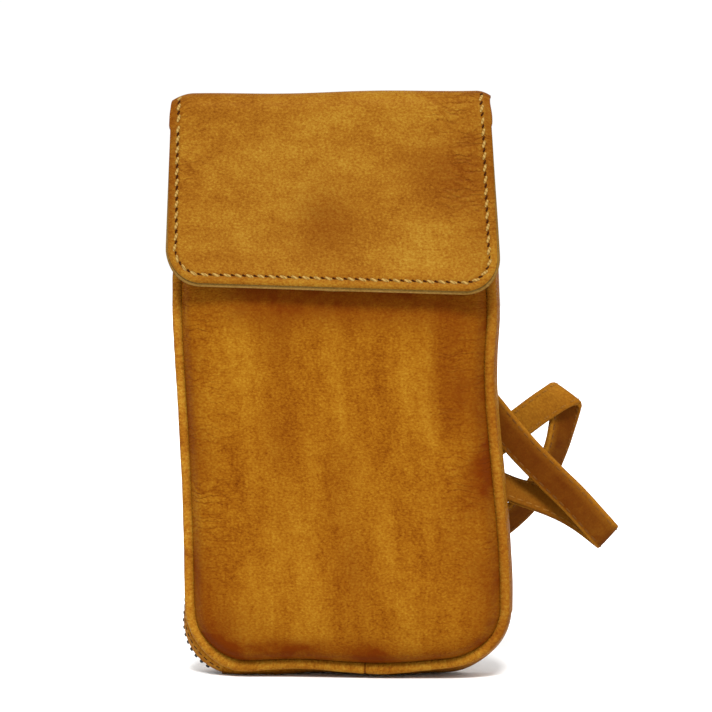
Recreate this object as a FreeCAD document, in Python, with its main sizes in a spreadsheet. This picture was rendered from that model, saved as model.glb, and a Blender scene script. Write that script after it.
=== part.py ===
import FreeCAD, Part
import Sketcher
import math
import os

# A small leather phone pouch that stands on its bottom edge: a phone pocket in front under a snap flap, a
# zipped compartment behind it, and a flat shoulder strap folded behind. Millimetres, +X to the right as seen
# from the front, -Y to the front, +Z up. The origin is on the floor under the middle of the gusset.

SIZES = [
    ("body_width", 103.0, "gusset, outside to outside"),
    ("body_height", 178.0, "gusset, floor to top"),
    ("lower_corner_radius", 20.0, "outside of the gusset"),
    ("upper_corner_radius", 10.0, "outside of the gusset"),
    ("leather", 1.4, "body leather"),
    ("lining", 0.5, "cloth lining"),
    ("seam_clearance", 0.1, "between sewn pieces"),
    ("piping_diameter", 3.6, "covered cord in the seams"),
    ("gusset_strip", 3.4, "leather beside the zip"),
    ("zip_opening", 6.6, "between the leather strips"),
    ("pocket_depth", 7.4, "room for the phone, front to back"),
    ("pocket_mouth", 168.0, "height of the pocket's open edge"),
    ("front_edge_radius", 6.0, "round shoulder of the front panel"),
    ("back_bulge", 3.0, "depth of the back panel"),
    ("back_edge_radius", 2.2, "round shoulder of the back panel"),
    ("flap_width", 104.0, "over the free edge"),
    ("flap_drop", 61.0, "top of the fold to the free edge"),
    ("flap_corner_radius", 8.0, "free corners"),
    ("flap_lining", 0.8, "inner layer of the flap"),
    ("flap_lining_margin", 0.6, "outer leather past the inner layer"),
    ("fold_width", 101.0, "flap where it bends"),
    ("fold_clearance", 0.2, "between the fold and the stiff flap"),
    ("snap_diameter", 14.0, "magnetic snap"),
    ("snap_half", 1.4, "each half, proud of the leather"),
    ("snap_gap", 0.2, "between the closed halves"),
    ("snap_height", 136.0, "centre above the floor"),
    ("stitch_pitch", 3.5, "along the flap's edge"),
    ("stitch_length", 2.7, "one visible stitch"),
    ("stitch_width", 0.7, "thread lying flat"),
    ("stitch_rise", 0.35, "thread above the leather"),
    ("stitch_margin", 3.0, "stitch line to the edge"),
    ("tooth_pitch", 2.2, "one row"),
    ("tooth_thickness", 0.75, "along the zip"),
    ("tooth_root", 2.2, "zip's middle to the tape"),
    ("tooth_overlap", 0.9, "past the zip's middle"),
    ("tooth_rise", 0.4, "above the leather strips"),
    ("tooth_depth", 2.6, "outside to inside"),
    ("tape_thickness", 0.5, "woven tape"),
    ("zip_start_angle", 25.0, "lower corner, degrees up from the bottom"),
    ("zip_end", 38.0, "along the top, right of the middle"),
    ("stop_length", 3.0, "stops at both ends of the zip"),
    ("slider_place", 29.0, "closed, right of the middle"),
    ("slider_length", 11.0, "along the zip"),
    ("slider_width", 6.2, "across the zip"),
    ("slider_plate", 1.0, "both plates"),
    ("slider_clearance", 0.3, "above and below the teeth"),
    ("slider_side", 0.6, "side walls"),
    ("slider_post", 1.6, "wedge between the plates"),
    ("bail_length", 7.0, "loop on the slider"),
    ("bail_rise", 2.9, "loop above the slider"),
    ("bail_wire", 1.0, "loop's thickness"),
    ("pull_length", 26.0, "pivot to end"),
    ("pull_width", 5.4, "across"),
    ("pull_thickness", 1.1, "plate"),
    ("pull_slot", 9.0, "open end of the pull"),
    ("tab_width", 11.0, "leather tab of a ring"),
    ("tab_length", 16.0, "sewn part below the ring"),
    ("ring_height", 166.0, "pivot above the floor"),
    ("ring_spacing", 68.0, "between the two rings"),
    ("ring_wire", 2.4, "wire of a ring"),
    ("ring_inner_width", 13.0, "inside a ring"),
    ("ring_drop", 9.0, "between a ring's two bars"),
    ("ring_corner_radius", 2.0, "middle of the wire"),
    ("ring_tilt", 35.0, "hanging ring, degrees from the vertical"),
    ("ring_clearance", 0.15, "wire in its leather tab"),
    ("strap_width", 10.0, "flat strap"),
    ("strap_thickness", 2.2, "two layers sewn together"),
    ("tie_height", 5.0, "band round the hank"),
    ("tie_thickness", 0.8, "band round the hank"),
    ("tie_place", 62.0, "height of the band's middle"),
    ("tie_slack", 0.3, "between the band and the hank"),
]

doc = FreeCAD.newDocument("PhonePouch")
sheet = doc.addObject("Spreadsheet::Sheet", "Sizes")
for row, (alias, value, note) in enumerate(SIZES, 1):
    sheet.set(f"A{row}", alias)
    sheet.set(f"B{row}", str(value))
    sheet.setAlias(f"B{row}", alias)
    sheet.set(f"C{row}", note)
doc.recompute()

# Places that several pieces share, as expressions on the sheet. Depths run from the middle of the zip.
HALF_WIDTH = "Sizes.body_width / 2"
HALF_DEPTH = "(Sizes.gusset_strip + Sizes.zip_opening / 2)"
PANEL_INSET = "(Sizes.piping_diameter + Sizes.seam_clearance)"
MIDDLE_REAR = f"(-{HALF_DEPTH} - Sizes.seam_clearance)"
MIDDLE_FRONT = f"({MIDDLE_REAR} - Sizes.leather)"
PANEL_RIM = f"({MIDDLE_FRONT} - Sizes.seam_clearance)"
POCKET_FRONT = f"({MIDDLE_FRONT} - Sizes.pocket_depth)"
LINING_FRONT = f"({POCKET_FRONT} - Sizes.lining)"
PANEL_BACK = f"({LINING_FRONT} - Sizes.seam_clearance)"
PANEL_FACE = f"({PANEL_BACK} - Sizes.leather)"
FLAP_REAR = f"({PANEL_FACE} - 2 * Sizes.snap_half - Sizes.snap_gap)"
FLAP_MIDDLE = f"({FLAP_REAR} - Sizes.flap_lining)"
FLAP_FACE = f"({FLAP_MIDDLE} - Sizes.leather)"
FOLD_RADIUS = f"(({MIDDLE_REAR} - {FLAP_FACE}) / 2)"
FOLD_THICKNESS = "(Sizes.leather + Sizes.flap_lining)"
HINGE_DEPTH = f"(({MIDDLE_REAR} + {FLAP_FACE}) / 2)"
HINGE_HEIGHT = "(Sizes.body_height - Sizes.seam_clearance)"
MIDDLE_TOP = f"(Sizes.body_height - {PANEL_INSET})"
FLAP_BOTTOM = f"({HINGE_HEIGHT} + {FOLD_RADIUS} - Sizes.flap_drop)"
BACK_RIM = f"({HALF_DEPTH} + Sizes.seam_clearance)"
BACK_FACE = f"({BACK_RIM} + Sizes.back_bulge)"
TAPE_OUTSIDE = "(Sizes.leather + Sizes.seam_clearance)"
PIPING_RADIUS = "(Sizes.piping_diameter / 2)"
SKIN = f"({PANEL_INSET} + Sizes.leather + Sizes.seam_clearance)"


def value(expression):
    return float(sheet.evalExpression(expression))


def size(alias):
    return float(sheet.get(alias))


def new_sketch(body, name, role, offset):
    sketch = body.newObject("Sketcher::SketchObject", name)
    plane = next(f for f in body.Origin.OriginFeatures if f.Role == role)
    sketch.AttachmentSupport = [(plane, "")]
    sketch.MapMode = "FlatFace"
    sketch.setExpression("AttachmentOffset.Base.z", offset)
    return sketch


def bind(sketch, kind, *place, to):
    index = sketch.addConstraint(Sketcher.Constraint(kind, *place, value(to)))
    sketch.setExpression(f"Constraints[{index}]", to)


def put_point(sketch, line, end, across=None, up=None):
    if across is not None:
        bind(sketch, "DistanceX", -1, 1, line, end, to=across)
    if up is not None:
        bind(sketch, "DistanceY", -1, 1, line, end, to=up)


def rounded_box(sketch, half_width, bottom, top, low, high=None, shut=True):
    # left side down, bottom, right side up and, unless it is open, the top; corners are tangent arcs
    w, b, t, r = (value(e) for e in (half_width, bottom, top, low))
    q = value(high) if high else 0.0
    corner = {}

    def line(x0, y0, x1, y1):
        ends = FreeCAD.Vector(x0, y0, 0), FreeCAD.Vector(x1, y1, 0)
        return sketch.addGeometry(Part.LineSegment(*ends))

    def arc(x, y, radius, quarter, size_of_it):
        circle = Part.Circle(FreeCAD.Vector(x, y, 0), FreeCAD.Vector(0, 0, 1), radius)
        start = quarter * math.pi / 2
        index = sketch.addGeometry(Part.ArcOfCircle(circle, start, start + math.pi / 2))
        corner[index] = size_of_it
        return index

    left = line(-w, t - q, -w, b + r)
    low_left = arc(-w + r, b + r, r, 2, low)
    base = line(-w + r, b, w - r, b)
    low_right = arc(w - r, b + r, r, 3, low)
    right = line(w, b + r, w, t - q)
    chain = [left, low_left, base, low_right, right]
    if high:
        chain += [arc(w - q, t - q, q, 0, high), line(w - q, t, -w + q, t), arc(-w + q, t - q, q, 1, high)]
    elif shut:
        chain.append(line(w, t, -w, t))
    for first, second in zip(chain, chain[1:] + ([chain[0]] if shut else [])):
        joint = "Tangent" if first in corner or second in corner else "Coincident"
        sketch.addConstraint(Sketcher.Constraint(joint, first, 2, second, 1))
    for upright in (left, right):
        sketch.addConstraint(Sketcher.Constraint("Vertical", upright))
    sketch.addConstraint(Sketcher.Constraint("Horizontal", base))
    put_point(sketch, left, 1, across=f"-({half_width})")
    put_point(sketch, right, 2, across=half_width)
    put_point(sketch, base, 1, up=bottom)
    for index, radius in corner.items():
        bind(sketch, "Radius", index, to=radius)
    if high:
        sketch.addConstraint(Sketcher.Constraint("Horizontal", chain[6]))
        put_point(sketch, chain[6], 1, up=top)
    else:
        put_point(sketch, left, 1, up=top)
        put_point(sketch, right, 2, up=top)


def pouch_outline(sketch, inset, top=None):
    rounded_box(
        sketch,
        f"{HALF_WIDTH} - {inset}",
        inset,
        top or f"Sizes.body_height - {inset}",
        f"Sizes.lower_corner_radius - {inset}",
        None if top else f"Sizes.upper_corner_radius - {inset}",
    )


def polygon(sketch, corners):
    points = [FreeCAD.Vector(value(x), value(y), 0) for x, y in corners]
    sides = [sketch.addGeometry(Part.LineSegment(p, q)) for p, q in zip(points, points[1:] + points[:1])]
    for first, second in zip(sides, sides[1:] + sides[:1]):
        sketch.addConstraint(Sketcher.Constraint("Coincident", first, 2, second, 1))
    for side, (x, y) in zip(sides, corners):
        put_point(sketch, side, 1, across=x, up=y)


def padded(body, sketch, length):
    pad = body.newObject("PartDesign::Pad", f"{body.Name}Pad")
    pad.Profile = sketch
    pad.setExpression("Length", length)
    doc.recompute()
    return pad


def plate(label, inset, rear, front, top=None):
    body = doc.addObject("PartDesign::Body", label)
    sketch = new_sketch(body, f"{label}_outline", "XZ_Plane", f"-({rear})")
    pouch_outline(sketch, inset, top)
    padded(body, sketch, f"{rear} - ({front})")
    return body


def rounded_plate(label, inset, rear, front, round_face, radius, top=None):
    # a plate whose edge is rounded all round one face, but not along an open top
    body = plate(label, inset, rear, front, top)
    pad = body.Tip
    y = value(round_face)
    open_top = value(top) if top else None
    chosen = []
    for index, edge in enumerate(pad.Shape.Edges, 1):
        ends = [v.Point for v in edge.Vertexes]
        on_face = all(abs(p.y - y) < 1e-6 for p in ends)
        on_top = open_top is not None and all(abs(p.z - open_top) < 1e-6 for p in ends)
        if on_face and not on_top:
            chosen.append(f"Edge{index}")
    fillet = body.newObject("PartDesign::Fillet", f"{label}_shoulder")
    fillet.Base = (pad, chosen)
    fillet.setExpression("Radius", radius)
    doc.recompute()
    return body


def cut(label, base, tool):
    result = doc.addObject("Part::Cut", label)
    result.Base = base
    result.Tool = tool
    return result


def fused(label, pieces):
    result = doc.addObject("Part::MultiFuse", label)
    result.Shapes = pieces
    result.Refine = True
    return result


def box(name, across, deep, up):
    # each direction is a pair of expressions, from and to
    block = doc.addObject("Part::Box", name)
    for axis, side, (start, end) in zip("xyz", ("Length", "Width", "Height"), (across, deep, up)):
        block.setExpression(side, f"{end} - ({start})")
        block.setExpression(f"Placement.Base.{axis}", start)
    return block


def cylinder(name, radius, length, turn, at):
    rod = doc.addObject("Part::Cylinder", name)
    rod.setExpression("Radius", radius)
    rod.setExpression("Height", length)
    rod.Placement.Rotation = turn
    for axis, place in zip("xyz", at):
        rod.setExpression(f"Placement.Base.{axis}", place)
    return rod


ALONG_X = FreeCAD.Rotation(FreeCAD.Vector(1, 1, 1), 120)
TOWARDS_FRONT = FreeCAD.Rotation(FreeCAD.Vector(1, 0, 0), 90)
nodes = {}

# Front panel: leather moulded to a shallow tray that is open at the top, the front wall of the phone pocket.
ABOVE_MOUTH = "Sizes.pocket_mouth + Sizes.leather"
panel_outside = rounded_plate(
    "panel_outside",
    PANEL_INSET,
    PANEL_RIM,
    PANEL_FACE,
    PANEL_FACE,
    "Sizes.front_edge_radius",
    "Sizes.pocket_mouth",
)
panel_inside = rounded_plate(
    "panel_inside",
    f"({PANEL_INSET} + Sizes.leather)",
    f"({PANEL_RIM} + Sizes.leather)",
    PANEL_BACK,
    PANEL_BACK,
    "Sizes.front_edge_radius - Sizes.leather",
    ABOVE_MOUTH,
)
nodes["front_panel"] = cut("front_panel", panel_outside, panel_inside)

# Pocket lining: cloth that follows the inside of the front panel.
lining_outside = rounded_plate(
    "lining_outside",
    SKIN,
    PANEL_RIM,
    LINING_FRONT,
    LINING_FRONT,
    "Sizes.front_edge_radius - Sizes.leather - Sizes.seam_clearance",
    "Sizes.pocket_mouth",
)
lining_inside = rounded_plate(
    "lining_inside",
    f"({SKIN} + Sizes.lining)",
    f"({PANEL_RIM} + Sizes.leather)",
    POCKET_FRONT,
    POCKET_FRONT,
    "Sizes.front_edge_radius - Sizes.leather - Sizes.seam_clearance - Sizes.lining",
    ABOVE_MOUTH,
)
nodes["pocket_lining"] = cut("pocket_lining", lining_outside, lining_inside)

# Middle panel: leather wall between the two compartments, with a cloth lining on its rear face.
nodes["middle_panel"] = plate("middle_panel", PANEL_INSET, MIDDLE_REAR, MIDDLE_FRONT)
nodes["middle_lining"] = plate(
    "middle_lining",
    SKIN,
    f"({MIDDLE_REAR} + Sizes.seam_clearance + Sizes.lining)",
    f"({MIDDLE_REAR} + Sizes.seam_clearance)",
)

# Back panel: leather, gently raised, with a cloth lining inside.
back_outside = rounded_plate(
    "back_outside", PANEL_INSET, BACK_FACE, BACK_RIM, BACK_FACE, "Sizes.back_edge_radius"
)
back_inside = rounded_plate(
    "back_inside",
    f"({PANEL_INSET} + Sizes.leather)",
    f"({BACK_FACE} - Sizes.leather)",
    f"({BACK_RIM} - Sizes.leather)",
    f"({BACK_FACE} - Sizes.leather)",
    "Sizes.back_edge_radius - Sizes.leather",
)
nodes["back_panel"] = cut("back_panel", back_outside, back_inside)
BACK_LINING = f"({BACK_FACE} - Sizes.leather - Sizes.seam_clearance)"
nodes["back_lining"] = plate(
    "back_lining",
    f"({SKIN} + Sizes.back_edge_radius - Sizes.leather)",
    BACK_LINING,
    f"({BACK_LINING} - Sizes.lining)",
)


def piping(label, depth, top=None):
    # covered cord round the edge: a U that is open at the top, or a closed loop
    body = doc.addObject("PartDesign::Body", label)
    path = new_sketch(body, f"{label}_path", "XZ_Plane", f"-({depth})")
    half_width = f"{HALF_WIDTH} - {PIPING_RADIUS}"
    high = f"Sizes.upper_corner_radius - {PIPING_RADIUS}"
    low = f"Sizes.lower_corner_radius - {PIPING_RADIUS}"
    if top:
        rounded_box(path, half_width, PIPING_RADIUS, top, low, shut=False)
    else:
        rounded_box(path, half_width, PIPING_RADIUS, f"Sizes.body_height - {PIPING_RADIUS}", low, high)
    start = top or "Sizes.body_height - Sizes.upper_corner_radius"
    ring = new_sketch(body, f"{label}_section", "XY_Plane", start)
    centre = FreeCAD.Vector(-value(half_width), value(depth), 0)
    circle = ring.addGeometry(Part.Circle(centre, FreeCAD.Vector(0, 0, 1), value(PIPING_RADIUS)))
    put_point(ring, circle, 3, across=f"-({half_width})", up=depth)
    bind(ring, "Radius", circle, to=PIPING_RADIUS)
    doc.recompute()
    pipe = body.newObject("PartDesign::AdditivePipe", f"{label}_pipe")
    pipe.Profile = ring
    pipe.Spine = path
    doc.recompute()
    return body


# Piping: leather round a thin cord, sewn into the front seam (left, bottom, right) and round the back seam.
nodes["front_piping"] = piping(
    "front_piping", f"(-{HALF_DEPTH} - Sizes.seam_clearance - {PIPING_RADIUS})", "Sizes.pocket_mouth"
)
nodes["rear_piping"] = piping("rear_piping", f"({HALF_DEPTH} + Sizes.seam_clearance + {PIPING_RADIUS})")

# The zip turns up the left side and along the top, and the plain gusset closes the bottom and the right side.
# Both are cut from a ring of the pouch's outline, along a line across the lower left corner and one across
# the top.
REACH = "(2 * Sizes.lower_corner_radius)"
CORNER_X = f"(Sizes.lower_corner_radius - {HALF_WIDTH})"
CORNER_Z = "Sizes.lower_corner_radius"
ANGLE = "(Sizes.zip_start_angle * 1 deg)"


def band(label, outside, inside, rear, front, keep_zip, gap):
    body = plate(label, outside, rear, front)
    ring = body.Tip.Shape.Volume
    hole = new_sketch(body, f"{label}_hole", "XZ_Plane", f"-({rear})")
    pouch_outline(hole, inside)
    away = new_sketch(body, f"{label}_away", "XZ_Plane", f"-({rear})")
    side = 1 if keep_zip else -1
    far = f"{side} * Sizes.body_width"
    end = f"Sizes.zip_end - ({side} * {gap})"
    below = f"{CORNER_Z} - {REACH} * cos({ANGLE})"
    above = f"Sizes.body_height + {REACH}"
    start = f"{CORNER_X} - ({side} * {gap})"
    polygon(
        away,
        [
            (start, CORNER_Z),
            (f"{start} - {REACH} * sin({ANGLE})", below),
            (far, below),
            (far, above),
            (end, above),
            (end, CORNER_Z),
        ],
    )
    for sketch in (hole, away):
        pocket = body.newObject("PartDesign::Pocket", f"{sketch.Name}_cut")
        pocket.Profile = sketch
        pocket.Type = "ThroughAll"
        pocket.Midplane = True
        doc.recompute()
        assert pocket.Shape.Volume < 0.999 * ring, f"{pocket.Name} cut nothing"
        ring = pocket.Shape.Volume
    return body


SEAM = "Sizes.seam_clearance / 2"
STRIP_EDGE = "(Sizes.zip_opening / 2)"
for label, rear, front, keep_zip in (
    ("zip_strip_front", f"(-{STRIP_EDGE})", f"(-{HALF_DEPTH})", True),
    ("zip_strip_rear", HALF_DEPTH, STRIP_EDGE, True),
    ("gusset", HALF_DEPTH, f"(-{HALF_DEPTH})", False),
):
    nodes[label] = band(label, "0", "Sizes.leather", rear, front, keep_zip, SEAM)

# Zip tapes: woven, under the leather strips and out to the roots of the teeth.
TAPE_INSIDE = f"({TAPE_OUTSIDE} + Sizes.tape_thickness)"
TAPE_EDGE = f"({HALF_DEPTH} - Sizes.seam_clearance)"
TEETH_EDGE = "(Sizes.tooth_root + Sizes.seam_clearance / 2)"
nodes["zip_tape_front"] = band(
    "zip_tape_front", TAPE_OUTSIDE, TAPE_INSIDE, f"(-{TEETH_EDGE})", f"(-{TAPE_EDGE})", True, SEAM
)
nodes["zip_tape_rear"] = band("zip_tape_rear", TAPE_OUTSIDE, TAPE_INSIDE, TAPE_EDGE, TEETH_EDGE, True, SEAM)


def on_zip(distance):
    # point on the strips' outer face, with the direction of the zip there, at a distance from its lower end
    w, t = size("body_width") / 2, size("body_height")
    low, high = size("lower_corner_radius"), size("upper_corner_radius")
    first = math.radians(size("zip_start_angle"))
    corner = low * (math.pi / 2 - first)
    if distance < corner:
        angle = first + distance / low
        across, up = math.sin(angle), math.cos(angle)
        return (-w + low - low * across, low - low * up), (-up, across)
    distance -= corner
    if distance < t - low - high:
        return (-w, low + distance), (0.0, 1.0)
    distance -= t - low - high
    if distance < high * math.pi / 2:
        angle = distance / high
        across, up = math.cos(angle), math.sin(angle)
        return (-w + high - high * across, t - high + high * up), (up, across)
    distance -= high * math.pi / 2
    return (-w + high + distance, t), (1.0, 0.0)


def zip_length(place):
    # length of the zip from its lower end to a place on its top run
    low, high = size("lower_corner_radius"), size("upper_corner_radius")
    corner = low * (math.pi / 2 - math.radians(size("zip_start_angle")))
    side = size("body_height") - low - high
    return corner + side + high * math.pi / 2 + place + size("body_width") / 2 - high


def on_the_zip(distance, length, front, rear):
    # a block across the zip, as long as given along it
    (x, z), (along_x, along_z) = on_zip(distance)
    deep, rise = size("tooth_depth"), size("tooth_rise")
    block = Part.makeBox(length, rear - front, deep, FreeCAD.Vector(-length / 2, front, rise - deep))
    turn = FreeCAD.Rotation(FreeCAD.Vector(0, 1, 0), -math.degrees(math.atan2(along_z, along_x)))
    block.Placement = FreeCAD.Placement(FreeCAD.Vector(x, 0, z), turn).multiply(block.Placement)
    return block


def blocks(label, shapes):
    group = doc.addObject("Part::Feature", label)
    group.Shape = Part.makeCompound(shapes)
    return group


# Zip teeth: two rows of separate metal teeth, half a pitch apart, that reach past each other in the middle.
chain_start = size("stop_length") + size("tooth_pitch")
chain_end = zip_length(size("slider_place"))
tooth_count = int((chain_end - chain_start) / size("tooth_pitch"))
for row, side in (("front", -1), ("rear", 1)):
    edges = sorted((side * size("tooth_root"), -side * size("tooth_overlap")))
    late = 0.25 * side * size("tooth_pitch")
    teeth = [
        on_the_zip(chain_start + late + step * size("tooth_pitch"), size("tooth_thickness"), *edges)
        for step in range(tooth_count)
    ]
    nodes[f"zip_teeth_{row}"] = blocks(f"zip_teeth_{row}", teeth)

# Stops: one block over both rows at the lower end, one on each tape at the upper end.
stop = size("stop_length")
nodes["zip_bottom_stop"] = blocks(
    "zip_bottom_stop", [on_the_zip(0.6 * stop, stop, -size("tooth_root"), size("tooth_root"))]
)
upper = zip_length(size("zip_end")) - 0.6 * stop
near, far = size("tooth_overlap"), size("tooth_root")
nodes["zip_top_stops"] = blocks(
    "zip_top_stops", [on_the_zip(upper, stop, -far, -near), on_the_zip(upper, stop, near, far)]
)

# Slider: two plates joined by a wedge, side walls that leave a slot for each tape, and a loop for the pull.
SLIDE_MIDDLE = "Sizes.slider_place"
FORWARD = "(Sizes.slider_length / 2)"
PLATE_LOW = "(Sizes.body_height + Sizes.tooth_rise + Sizes.slider_clearance)"
PLATE_TOP = f"({PLATE_LOW} + Sizes.slider_plate)"
FLOOR_TOP = "(Sizes.body_height + Sizes.tooth_rise - Sizes.tooth_depth - Sizes.slider_clearance)"
FLOOR_LOW = f"({FLOOR_TOP} - Sizes.slider_plate)"
SLOT_TOP = f"(Sizes.body_height - {TAPE_OUTSIDE} + Sizes.slider_clearance)"
SLOT_LOW = f"(Sizes.body_height - {TAPE_INSIDE} - Sizes.slider_clearance / 2)"
ENDS = (f"{SLIDE_MIDDLE} - {FORWARD}", f"{SLIDE_MIDDLE} + {FORWARD}")
SIDES = ("-Sizes.slider_width / 2", "Sizes.slider_width / 2")
slider_parts = [
    box("slider_top", ENDS, SIDES, (PLATE_LOW, PLATE_TOP)),
    box("slider_floor", ENDS, SIDES, (FLOOR_LOW, FLOOR_TOP)),
    box(
        "slider_wedge",
        (f"{ENDS[1]} - 2 * Sizes.slider_post", f"{ENDS[1]} - Sizes.slider_post / 2"),
        ("-Sizes.slider_post / 2", "Sizes.slider_post / 2"),
        (FLOOR_TOP, PLATE_LOW),
    ),
]
for name, wall in (
    ("front", (SIDES[0], f"{SIDES[0]} + Sizes.slider_side")),
    ("rear", (f"{SIDES[1]} - Sizes.slider_side", SIDES[1])),
):
    slider_parts.append(box(f"slider_wall_{name}", ENDS, wall, (SLOT_TOP, PLATE_LOW)))
    slider_parts.append(box(f"slider_lip_{name}", ENDS, wall, (FLOOR_TOP, SLOT_LOW)))
BAIL = (f"{SLIDE_MIDDLE} - Sizes.bail_length / 2", f"{SLIDE_MIDDLE} + Sizes.bail_length / 2")
BAIL_SIDES = ("-Sizes.bail_wire / 2", "Sizes.bail_wire / 2")
BAIL_TOP = f"({PLATE_TOP} + Sizes.bail_rise)"
slider_parts.append(box("bail_bar", BAIL, BAIL_SIDES, (f"{BAIL_TOP} - Sizes.bail_wire", BAIL_TOP)))
for name, leg in (
    ("back", (BAIL[0], f"{BAIL[0]} + Sizes.bail_wire")),
    ("ahead", (f"{BAIL[1]} - Sizes.bail_wire", BAIL[1])),
):
    slider_parts.append(box(f"bail_leg_{name}", leg, BAIL_SIDES, (PLATE_TOP, BAIL_TOP)))
nodes["zip_slider"] = fused("zip_slider", slider_parts)

# Pull: a plate whose open end carries a round bar through the slider's loop.
PIVOT_Z = f"({PLATE_TOP} + (Sizes.bail_rise - Sizes.bail_wire) / 2)"
PULL_SIDES = ("-Sizes.pull_width / 2", "Sizes.pull_width / 2")
ARM = "(Sizes.pull_width / 4)"
PULL_UP = (f"{PIVOT_Z} - Sizes.pull_thickness / 2", f"{PIVOT_Z} + Sizes.pull_thickness / 2")
ROUND_ACROSS = ("Sizes.slider_place", "Sizes.pull_width / 2", PIVOT_Z)
pull_parts = [
    cylinder("pull_bar", "Sizes.pull_thickness / 2", "Sizes.pull_width", TOWARDS_FRONT, ROUND_ACROSS),
    box(
        "pull_plate",
        (f"{SLIDE_MIDDLE} - Sizes.pull_length", f"{SLIDE_MIDDLE} - Sizes.pull_slot"),
        PULL_SIDES,
        PULL_UP,
    ),
]
for name, arm in (
    ("front", (PULL_SIDES[0], f"{PULL_SIDES[0]} + {ARM}")),
    ("rear", (f"{PULL_SIDES[1]} - {ARM}", PULL_SIDES[1])),
):
    pull_parts.append(
        box(f"pull_arm_{name}", (f"{SLIDE_MIDDLE} - Sizes.pull_slot", SLIDE_MIDDLE), arm, PULL_UP)
    )
nodes["zip_pull"] = fused("zip_pull", pull_parts)

# Flap: stiff outer leather and an inner layer, wider at the free edge, and the bend that hinges it on the top
# edge of the middle panel.
def flap_layer(label, rear, front, margin):
    body = doc.addObject("PartDesign::Body", label)
    sketch = new_sketch(body, f"{label}_outline", "XZ_Plane", f"-({rear})")
    top, bottom = f"{HINGE_HEIGHT} - Sizes.fold_clearance", f"{FLAP_BOTTOM} + {margin}"
    narrow, wide = f"Sizes.fold_width / 2 - {margin}", f"Sizes.flap_width / 2 - {margin}"
    polygon(sketch, [(f"-({narrow})", top), (f"-({wide})", bottom), (wide, bottom), (narrow, top)])
    pad = padded(body, sketch, f"{rear} - ({front})")
    low = value(bottom)
    corners = [
        f"Edge{index}"
        for index, edge in enumerate(pad.Shape.Edges, 1)
        if all(abs(v.Z - low) < 1e-6 for v in edge.Vertexes)
        and abs(edge.tangentAt(edge.FirstParameter).y) > 0.99
    ]
    fillet = body.newObject("PartDesign::Fillet", f"{label}_corners")
    fillet.Base = (pad, corners)
    fillet.setExpression("Radius", f"Sizes.flap_corner_radius - {margin}")
    doc.recompute()
    return body


nodes["flap_leather"] = flap_layer("flap_leather", FLAP_MIDDLE, FLAP_FACE, "0")
nodes["flap_lining"] = flap_layer("flap_lining", FLAP_REAR, FLAP_MIDDLE, "Sizes.flap_lining_margin")

FOLD_START = ("-Sizes.fold_width / 2", HINGE_DEPTH, HINGE_HEIGHT)
fold_outside = cylinder("fold_outside", FOLD_RADIUS, "Sizes.fold_width", ALONG_X, FOLD_START)
fold_outside.Angle = 180
FOLD_INSIDE = f"{FOLD_RADIUS} - {FOLD_THICKNESS}"
fold_hollow = cylinder("fold_hollow", FOLD_INSIDE, "Sizes.fold_width", ALONG_X, FOLD_START)
fold_root = box(
    "fold_root",
    ("-Sizes.fold_width / 2", "Sizes.fold_width / 2"),
    (f"{MIDDLE_REAR} - {FOLD_THICKNESS}", MIDDLE_REAR),
    (f"{MIDDLE_TOP} + Sizes.seam_clearance", HINGE_HEIGHT),
)
nodes["flap_fold"] = fused("flap_fold", [cut("fold_arch", fold_outside, fold_hollow), fold_root])

# Thread: one stitch after another along the flap's two sides and its free edge, lying on the leather.
def stitch_line():
    # places and angles of the stitches, down the left side, round the corners and up the right side
    margin = size("stitch_margin")
    wide, narrow = size("flap_width") / 2 - margin, size("fold_width") / 2 - margin
    low, top = value(FLAP_BOTTOM) + margin, value(HINGE_HEIGHT) - margin
    r = size("flap_corner_radius") - margin
    lean = (wide - narrow) / (value(HINGE_HEIGHT) - value(FLAP_BOTTOM))
    side, round_part, base = top - low - r, r * math.pi / 2, 2 * (wide - r)
    total = 2 * side + 2 * round_part + base
    count = int(total / size("stitch_pitch"))
    for step in range(count):
        d = (step + 0.5) * total / count
        hand = -1 if d < total / 2 else 1
        d = min(d, total - d)
        if d < side:
            z = top - d
            yield hand * (wide - lean * (z - low)), z, 90.0 + hand * math.degrees(math.atan(lean))
        elif d < side + round_part:
            a = (d - side) / r
            angle = 90.0 - math.degrees(a)
            yield hand * (wide - r + r * math.cos(a)), low + r - r * math.sin(a), hand * angle
        else:
            yield hand * (wide - r - (d - side - round_part)), low, 0.0


long, wide, rise = size("stitch_length"), size("stitch_width"), size("stitch_rise")
stitches = []
for x, z, angle in stitch_line():
    stitch = Part.makeBox(long, rise, wide, FreeCAD.Vector(-long / 2, -rise, -wide / 2))
    stitch.Placement = FreeCAD.Placement(
        FreeCAD.Vector(x, value(FLAP_FACE), z), FreeCAD.Rotation(FreeCAD.Vector(0, 1, 0), -angle)
    ).multiply(stitch.Placement)
    stitches.append(stitch)
nodes["flap_thread"] = blocks("flap_thread", stitches)

# Magnetic snap: a thin round half on the front panel and one on the flap, face to face when shut.
SNAP_RADIUS = "Sizes.snap_diameter / 2"
for label, rear in (("snap_socket", PANEL_FACE), ("snap_stud", f"{FLAP_REAR} + Sizes.snap_half")):
    snap_at = ("0", rear, "Sizes.snap_height")
    nodes[label] = cylinder(label, SNAP_RADIUS, "Sizes.snap_half", TOWARDS_FRONT, snap_at)

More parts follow.
